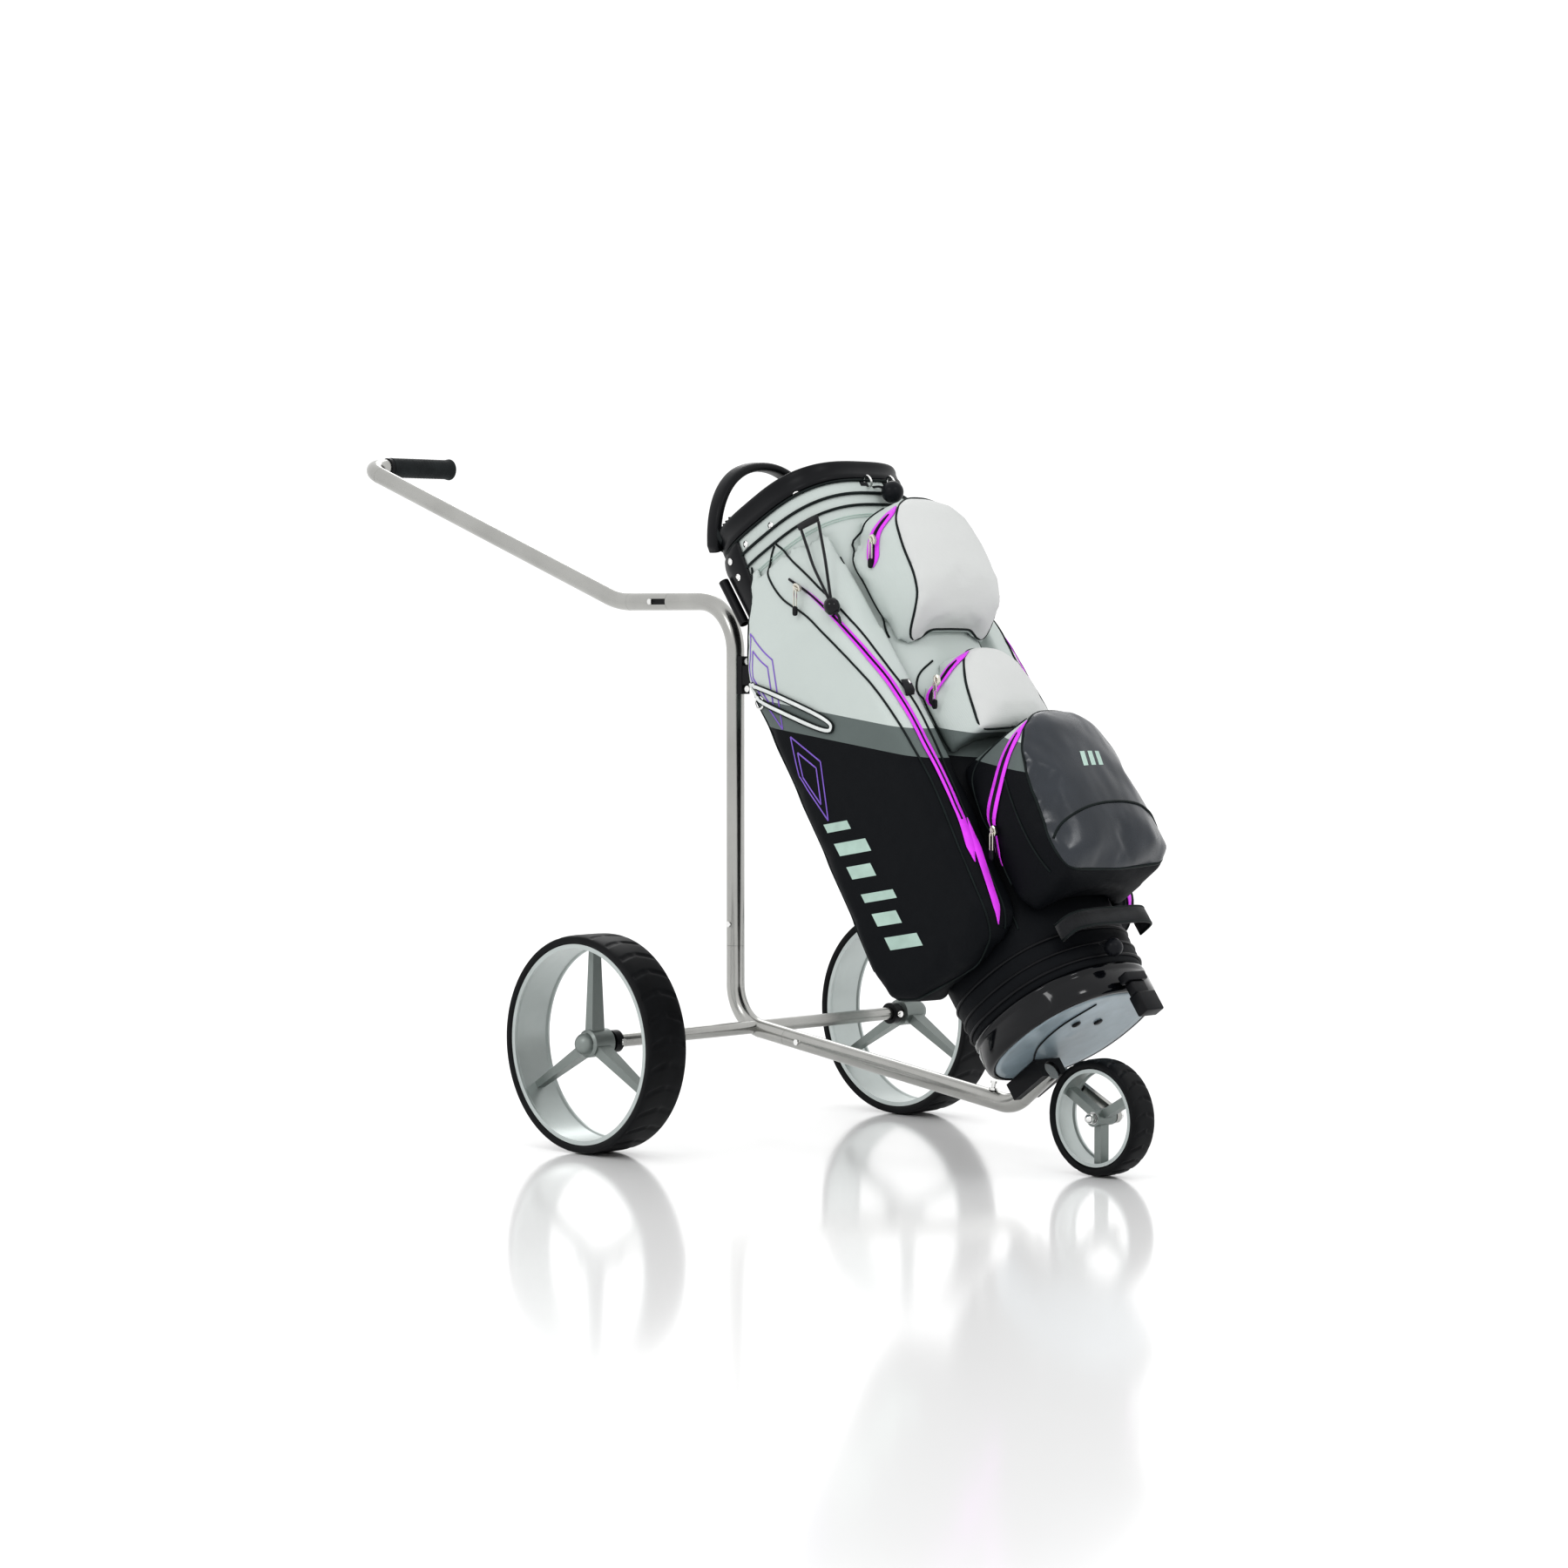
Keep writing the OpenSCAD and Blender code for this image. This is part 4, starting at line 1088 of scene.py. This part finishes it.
def build_prints():
    """Generic marks in place of printed lettering: stacked bars, nested outlines and a small badge."""
    slant = math.radians(-26)
    column = -74
    kite = ((-0.5, 0.2), (0.1, 1), (1, 0.1), (-0.1, -1))
    for side, tree in ((-1, RIGHT_TREE), (1, LEFT_TREE)):
        label = "left" if side > 0 else "right"
        bars, lines = [], []
        for k in range(6):
            length, width = 58 if k % 2 else 44, 19 if k % 3 else 13
            shape = slanted_bar(-88 + k * 1.5, 376 - k * 37, length, width, slant)
            bars.append(print_patch(mirrored(shape, side), tree))
        for height, tall, wide in ((610, 78, 34), (452, 64, 30)):
            for k in range(2):
                grow = 1 - 0.38 * k
                loop = [(column + wide * across * grow, height + tall * up * grow) for across, up in kite]
                line = mirrored([(e, -160, s) for e, s in loop], side)
                ends = zip(line, [*line[1:], line[0]])
                lines += [seam_band([a, b], [tree], 2.0, 0.35, 0.25) for a, b in ends]
        add_piece(f"{label}_bar_print", *join_parts(bars), SAGE, slot="pale_fabric")
        add_piece(f"{label}_line_print", *join_parts(lines), VIOLET, slot="pale_fabric")
    badge = []
    for k in range(3):
        y = -20 + 15 * k
        stripe = [(240, y, 262), (240, y + 9, 262), (240, y + 16, 284), (240, y + 7, 284)]
        badge.append(print_patch(stripe, BALL_TREE))
    add_piece("ball_pocket_badge", *join_parts(badge), SAGE, slot="coated_fabric")


build_prints()


# ---------- sliders ----------

def oblong(width, length, thick, hole=0.0, sides=10):
    """Rounded flat bar along -Z from the origin, lying in the (X, Z) plane, with an optional slot."""
    verts, faces = [], []
    r = width / 2

    def ring(grow):
        out = []
        for i in range(2 * sides):
            top = i < sides
            a = math.pi * (i if top else i - sides) / (sides - 1) + (0 if top else math.pi)
            c = Vector((0, 0, -r if top else -length + r))
            out.append(c + Vector((math.cos(a), 0, math.sin(a))) * (r - grow))
        return out

    outer = ring(0)
    inner = ring(hole if hole else r * 0.6)
    n = len(outer)
    for y in (-thick / 2, thick / 2):
        verts += [p + Vector((0, y, 0)) for p in outer]
        verts += [p + Vector((0, y, 0)) for p in inner]
    for i in range(n):
        k = (i + 1) % n
        faces.append((i, k, n + k, n + i))
        faces.append((2 * n + i, 3 * n + i, 3 * n + k, 2 * n + k))
        faces.append((i, 2 * n + i, 2 * n + k, k))
        if hole:
            faces.append((n + i, n + k, 3 * n + k, 3 * n + i))
    if not hole:
        faces += [tuple(range(n, 2 * n)), tuple(range(3 * n, 4 * n))]
    return verts, faces


def build_slider(name, node, body, at, coil_turn):
    """Zip slider body with a hanging metal pull and a moulded tip."""
    tilt = Matrix.Rotation(LEAN, 3, "Y")
    here = Vector(at)
    half = [(4.6, 3.2), (4.6, -3.2), (1.4, -7)]
    shell = [*half, *((-x, z) for x, z in reversed(half)), (-2.6, 6.6), (2.6, 6.6)]
    rings = []
    for depth, grow in ((-3.0, 0.8), (-2.4, 1.0), (1.4, 1.0), (2.6, 0.8)):
        rings += [Vector((x * grow, depth, z * grow)) for x, z in shell]
    turned = Matrix.Rotation(coil_turn, 3, "Y")
    body_verts = [here + turned @ v for v in rings]
    body_faces = loop_faces(4, 8) + [tuple(reversed(range(8))), tuple(range(24, 32))]
    arch = ((0, -2.4, 4.6), (0, -5.2, 3.2), (0, -5.4, -1.5), (0, -3.0, -4))
    bridge = sweep([here + turned @ Vector(p) for p in arch], round_section(1.1, 8))
    pull_verts, pull_faces = oblong(6.4, 25, 1.5, 1.6)
    pull = ([here + tilt @ (v + Vector((0, -4.3, -1.5))) for v in pull_verts], pull_faces)
    tip_verts, tip_faces = oblong(6.8, 13, 3.0)
    tip = ([here + tilt @ (v + Vector((0, -4.3, -24))) for v in tip_verts], tip_faces)
    add_piece(name, *join_parts([(body_verts, body_faces), bridge, pull]), ZIP_METAL, body=body, slot="zip_metal",
              replaces=[node], smooth=False)
    add_piece(name + "_tip", *tip, BLACK_PLASTIC, body=body, slot="zip_metal")


SLIDERS = {
    "top": ((150, -88, 674), 0.25),
    "middle": ((139, -90, 458), 0.5),
    "ball": ((125, -111, 236), 0.35),
    "side": ((52, -151, 668), -0.4),
}
for key, (at, turn) in SLIDERS.items():
    build_slider(f"{key}_slider", f"{key}_zip_slider", f"{key}_zip", at, turn)


# ---------- hardware on the bag ----------

def ring_path(centre, radius, normal, squash=1.0, count=28):
    turn = Vector(normal).to_track_quat("Z", "Y").to_matrix()
    return [Vector(centre) + turn @ Vector((radius * math.cos(a), squash * radius * math.sin(a), 0))
            for a in turn_angles(count)]


def build_side_loop():
    """Flat carrying loop laid on the side pocket: a pale band bound with dark cord on both edges."""
    centre, slant = Vector((-50, -170, 547)), math.radians(53)
    along = Vector((math.cos(slant), 0, -math.sin(slant)))
    across = Vector((math.sin(slant), 0, math.cos(slant)))

    def loop(half_length, half_width):
        out = []
        for t in turn_angles(110):
            x, z = superellipse(t, half_length, half_width, 3.2)
            out.append(centre + along * x + across * z)
        return snapped(out, [RIGHT_TREE, BODY_TREE], 2.4)

    middle, normals = loop(82, 9)
    band = sweep(middle, flat_section(5.0, 1.6), normals, closed=True)
    add_piece("side_loop_band", *band, SAGE_TRIM, slot="webbing", replaces=["side_loop"])
    cords = [sweep(loop(*size)[0], round_section(1.5, 8), closed=True) for size in ((85, 12), (79, 6))]
    add_piece("side_loop_binding", *join_parts(cords), PIPING, slot="webbing")


build_side_loop()

def box_part(low, high):
    """An upright box between two corners."""
    verts = [Vector(p) for p in itertools.product(*zip(low, high))]
    return verts, [(0, 1, 3, 2), (4, 6, 7, 5), (0, 4, 5, 1), (2, 3, 7, 6), (0, 2, 6, 4), (1, 5, 7, 3)]


STOPPER = Vector((90, -152, 610))
ANCHORS = [Vector((76, -119, 744)), Vector((108, -119, 734))]


def build_elastic():
    """Two elastic cords from the tab to the stopper, bowed a little, with the stopper's barrel."""
    cord = round_section(2.0, 10)
    parts = []
    for k, a in enumerate(ANCHORS):
        end = STOPPER + (a - STOPPER).normalized() * 9
        mid = a.lerp(end, 0.5) + Vector((3 if k else -2.5, -1.5, 0))
        line = smooth_path([a, a.lerp(mid, 0.5), mid, mid.lerp(end, 0.6), end], 5)
        parts.append(sweep(line, cord))
    tail = smooth_path([STOPPER + Vector(p) for p in ((2, -2, -9), (4, -2, -20), (1, -2, -28))], 3)
    parts.append(sweep(tail, cord))
    add_piece("elastic_cord_pair", *join_parts(parts), WEBBING, slot="cord_black", replaces=["elastic_cord"])
    profile = [(0, 11), (5, 10.8), (7.5, 9), (10.4, 4), (10.8, 0), (10.4, -4), (7.6, -9), (5, -10.8), (0, -11)]
    barrel = placed(lathe(profile, 28), STOPPER, (0.2, 0, 1))
    add_piece("stopper_barrel", *barrel, GLOSS_BLACK, slot="trim_black", replaces=["cord_stopper"])
    tab = Matrix.Rotation(math.radians(17), 3, "Y")
    corners, faces = box_part((-19, -2.6, -4.2), (19, 2.6, 4.2))
    verts = [Vector((92, -119, 744)) + tab @ p for p in corners]
    piece = add_piece("cord_tab", verts, faces, WEBBING, slot="webbing", smooth=False)
    bevel(piece, 1.6)


def bevel(piece, width, segments=3):
    mod = piece.modifiers.new("bevel", "BEVEL")
    mod.width, mod.segments = width * MM, segments
    piece.data.shade_smooth()


build_elastic()


def build_hooks():
    """Bright D-rings on webbing tabs at the collar's front, and the towel ring on the side."""
    wires, tabs = [], []
    for y in (-10, 34):
        centre = Vector((TOP_HALF[0] + TOP_SHIFT + 6, y, BAG_LEN - 22))
        wires.append(sweep(ring_path(centre, 9, (0.35, 1, 0.2), 0.85), round_section(1.5, 10), closed=True))
        path = [centre + Vector((-8, 0, d)) for d in (-2, 4, 9, 14)]
        tabs.append(sweep(path, flat_section(14, 1.8), [Vector((1, 0, 0))] * 4))
    wires.append(sweep(ring_path((-92, -154, 585), 8, (0, 1, 0)), round_section(1.5, 10), closed=True))
    add_piece("hook_rings", *join_parts(wires), CHROME, slot="bright_metal", replaces=["clip_hooks"])
    add_piece("hook_tabs", *join_parts(tabs), WEBBING, slot="webbing")


build_hooks()


def build_side_ring():
    """Bright bar ring on a short tab between the middle and lower pockets, on the right side."""
    trees = [BODY_TREE, RIGHT_TREE]
    bar = snapped([Vector((78 + 6 * k, -110, 486 - 3 * k)) for k in range(6)], trees, 6)[0]
    add_piece("side_ring_bar", *sweep(bar, round_section(1.7, 10)), CHROME, slot="bright_metal")
    tab, normals = snapped([Vector((94 - 2 * k, -112, 478 - 6 * k)) for k in range(5)], trees, 4)
    add_piece("side_ring_tab", *sweep(tab, flat_section(14, 2.2), normals), WEBBING, slot="webbing")


build_side_ring()


def build_balls():
    """Rubber toggle balls on short cords."""
    upper = Vector((TOP_HALF[0] + TOP_SHIFT + 18, 12, BAG_LEN - 48))
    lower = Vector((134, -15, 50))
    parts = []
    for centre, r in ((upper, 15), (lower, 12)):
        profile = [(r * math.sin(math.pi * i / 16), r * math.cos(math.pi * i / 16)) for i in range(17)]
        profile[0], profile[-1] = (0, r), (0, -r)
        parts.append(placed(lathe(profile, 32), centre))
    add_piece("toggle_ball_pair", *join_parts(parts), BALL_RUBBER, slot="trim_black", replaces=["toggle_balls"])
    routes = (
        [(119, 4, 786), (127, 7, 781), (132, 10, 775)],
        [(119, 20, 786), (127, 17, 781), (134, 14, 775)],
        [(117, -15, 66), (126, -15, 64), (133, -15, 60)],
    )
    cords = [sweep(smooth_path(route, 3), round_section(1.6, 8)) for route in routes]
    add_piece("toggle_cords", *join_parts(cords), WEBBING, slot="cord_black")


build_balls()


def build_straps():
    """Wide webbing loop below the ball pocket, with its folded edge, and the buckle at the foot."""
    path = []
    count, root, reach, half, height, low = 64, 112, 36.4, 74.4, 88, 12.6
    for i in range(count + 1):
        x, y = superellipse(math.pi * (i / count - 0.5), reach, half, 5)
        path.append(Vector((root + max(x, 1.5), y, height)))
    section = [(-1.4, -low), (1.4, -low), (1.6, 0), (1.4, low), (-1.4, low), (-1.6, 0)]
    band = sweep(path, section, [Vector((0, 0, 1))] * len(path))
    add_piece("foot_strap", *band, WEBBING, slot="webbing", replaces=["base_straps"])
    edges = [sweep([p + Vector((0, 0, d)) for p in path], round_section(1.9, 8)) for d in (-11, 11)]
    add_piece("foot_strap_edges", *join_parts(edges), PIPING, slot="webbing")
    back = 119
    buckle = [box_part((back, -half, low), (back + out, half, high))
              for low, high, half, out in ((-44, -16, 17, 18), (-16, 2, 13, 13), (2, 14, 19, 16))]
    bevel(add_piece("foot_buckle", *join_parts(buckle), BLACK_PLASTIC, slot="trim_black", smooth=False), 2.2)


build_straps()


# ---------- base ----------

def build_base():
    """Glossy moulded foot: rounded skirt, grooved above, with one shallow dent and a rolled lower edge."""
    around = 144
    dent_at, dent_wide, dent_deep = 5.15, 0.16, 2.2
    profile = [(-1.6, 41), (0.6, 40), (1.0, 36), (-0.4, 33), (-0.4, 30), (1.0, 27), (1.0, 10), (0.4, 5),
               (-1.4, 1.6), (-4, 0.2), (-7, 0.0), (-8.6, 1.0), (-9, 2.4), (-14, 3.2)]
    verts = []
    for grow, h in profile:
        for t in turn_angles(around):
            dent = dent_deep * math.exp(-((t - dent_at) / dent_wide) ** 2) * (6 < h < 29)
            x, y = superellipse(t, BASE_HALF[0] + grow - dent, BASE_HALF[1] + grow - dent, 2.3)
            verts.append(Vector((x, y, h)))
    faces = loop_faces(len(profile), around)
    last = (len(profile) - 1) * around
    faces += [tuple(range(last, last + around)), tuple(reversed(range(around)))]
    add_piece("base_shell", verts, faces, GLOSS_BLACK, slot="base_plastic", replaces=["base_moulding"])


build_base()


def build_plate():
    """Dished plate on the underside with two round studs and a curved moulded seam."""
    around, rows, inset = 96, 12, 9
    verts = [Vector((0, 0, 0.6))]
    for j in range(1, rows + 1):
        k = j / rows
        for t in turn_angles(around):
            x, y = superellipse(t, (BASE_HALF[0] - inset) * k, (BASE_HALF[1] - inset) * k, 2.3)
            verts.append(Vector((x, y, 0.6 + 1.2 * (1 - k * k) - 0.5 * (j == rows))))
    faces = [(0, 1 + (i + 1) % around, 1 + i) for i in range(around)]
    faces += loop_faces(rows, around, start=1)
    back = len(verts)
    verts += [v + Vector((0, 0, 1.6)) for v in verts[-around:]] + [Vector((0, 0, 3.0))]
    edge = back - around
    for i in range(around):
        k = (i + 1) % around
        faces += [(edge + i, edge + k, back + k, back + i), (back + i, back + k, back + around)]
    add_piece("foot_plate", verts, faces, PLATE, slot="plate_plastic", replaces=["base_plate"])
    stud = lathe([(0, 1.5), (4, 1.3), (6, 0.4), (6.4, -0.6), (0, -0.6)], 24)
    studs = [placed(stud, (30, y, 0.2), (0, 0, -1)) for y in (20, -22)]
    seam = sweep(smooth_path([(80, -30, 0.5), (30, -52, 0.3), (-20, -48, 0.3), (-66, -18, 0.5)], 5),
                 round_section(1.1, 8))
    add_piece("plate_studs", *join_parts([*studs, seam]), BLACK_PLASTIC, slot="plate_plastic")


build_plate()


# ---------- wheels ----------

def wheel_frame(node):
    """Centre, outer radius and half width of a tyre, in millimetres in the row frame."""
    low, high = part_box(node)
    centre = (low + high) / 2 / MM
    return centre, (high.z - low.z) / 2 / MM, (high.y - low.y) / 2 / MM


GROOVE_DEPTH = 1.6
GROOVE_HALF = 0.11
PLAIN_MIDDLE = 0.1
SHOULDER = 0.86


def soft_step(x, sharpness):
    """Rises from 0 to 1 as x passes zero."""
    return 1 / (1 + math.exp(-x * sharpness))


def tread_depth(around, across, blocks):
    """Depth of a curved chevron groove at a place on the tread."""
    sweep_back = 0.34 * abs(across) ** 1.4
    phase = (around * blocks / (2 * math.pi) + sweep_back) % 1.0
    groove = soft_step(GROOVE_HALF - abs(phase - 0.5), 70)
    middle = soft_step(abs(across) - PLAIN_MIDDLE, 40)
    edge = soft_step(SHOULDER - abs(across), 30)
    return GROOVE_DEPTH * groove * middle * edge


def build_tyre(side, wall, crown, blocks):
    """A tyre with a rounded crown and moulded chevron tread."""
    node = f"{side}_tyre"
    centre, radius, half = wheel_frame(node)
    around = max(blocks * 20, 240)
    inner = radius - wall
    section = [(-half + 2.4, inner), (-half + 0.5, inner + 2), (-half, inner + 3.6)]
    steps = 34
    for i in range(steps + 1):
        k = -1 + 2 * i / steps
        y = half * math.copysign(abs(math.sin(k * math.pi / 2)) ** 0.9, k)
        section.append((y, radius - crown * abs(k) ** 3.2))
    section += [(half, inner + 3.6), (half - 0.5, inner + 2), (half - 2.4, inner)]
    verts = []
    for t in turn_angles(around):
        for y, r in section:
            depth = tread_depth(t, y / half, blocks) if r > radius - crown * 0.9 else 0.0
            verts.append(centre + Vector(((r - depth) * math.cos(t), y, (r - depth) * math.sin(t))))
    faces = loop_faces(around, len(section), wrap=True)
    add_piece(f"{side}_tread", verts, faces, TYRE, body=f"{side}_wheel", slot="tyre_rubber", replaces=[node],
              place=Matrix())


build_tyre("left", wall=11.6, crown=3.4, blocks=28)
build_tyre("right", wall=11.6, crown=3.4, blocks=28)
build_tyre("front", wall=11, crown=6.2, blocks=22)


# ---------- cart handle grip ----------

def build_grip():
    """Foam sleeve with rolled ends and faint turned rings."""
    low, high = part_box("grip")
    low, high = low / MM, high / MM
    middle = (low + high) / 2
    radius = (high.z - low.z) / 2 - 1.6
    length = high.y - low.y
    profile = [(0, 0), (radius - 1, 0), (radius + 0.3, 1.5)]
    count = 60
    for i in range(count + 1):
        k = i / count
        ring = 0.22 * math.sin(k * math.pi * 40) * math.sin(math.pi * k)
        flare = 1.5 * math.exp(-((1 - k) / 0.045) ** 2)
        profile.append((radius + ring + flare, 2.5 + (length - 5) * k))
    profile += [(radius + 0.9, length - 1), (radius - 1, length), (0, length)]
    verts, faces = lathe(profile, 48)
    turn = Matrix.Rotation(math.radians(-90), 3, "X")
    start = Vector((middle.x, low.y, middle.z))
    add_piece("foam_grip", [start + turn @ v for v in verts], faces, GRIP_RUBBER, body="handle",
              slot="grip_rubber", replaces=["grip"], place=Matrix())


build_grip()


# ---------- stage ----------

def stage_material(name, tone, rough):
    s = Shader(name)
    s.colour(s.mix(s.noise(1.2, 3), tuple(c * 0.99 for c in tone), tone))
    s.roughness(s.noise(2.0, 3), rough[0], rough[1])
    return s.material


def build_stage():
    bpy.ops.mesh.primitive_plane_add(size=40, location=(0, 0, -0.0005))
    floor = bpy.context.object
    floor.name = "floor"
    floor.data.materials.append(stage_material("pale_floor", (0.96, 0.96, 0.96), (0.1, 0.13)))


def area_light(name, place, target, size, energy, tall=None):
    data = bpy.data.lights.new(name, "AREA")
    data.energy = energy
    data.size = size
    if tall:
        data.shape, data.size_y = "RECTANGLE", tall
    light = bpy.data.objects.new(name, data)
    bpy.context.scene.collection.objects.link(light)
    light.location = place
    light.rotation_mode = "QUATERNION"
    light.rotation_quaternion = (Vector(target) - Vector(place)).to_track_quat("-Z", "Y")


def light_studio():
    world = bpy.data.worlds.new("studio")
    world.use_nodes = True
    world.node_tree.nodes["Background"].inputs["Color"].default_value = (1, 1, 1, 1)
    world.node_tree.nodes["Background"].inputs["Strength"].default_value = 0.97
    bpy.context.scene.world = world
    centre = (0, 0, 0.5)
    area_light("key", (0.6, -3.4, 2.8), centre, 0.8, 14)
    area_light("side", (3.4, -0.6, 3.0), centre, 0.6, 10)
    area_light("rim", (-2.6, 2.6, 2.8), centre, 1.2, 10)
    bpy.context.scene.view_settings.view_transform = "Standard"
    bpy.context.scene.view_settings.look = "Medium High Contrast"


build_stage()
light_studio()
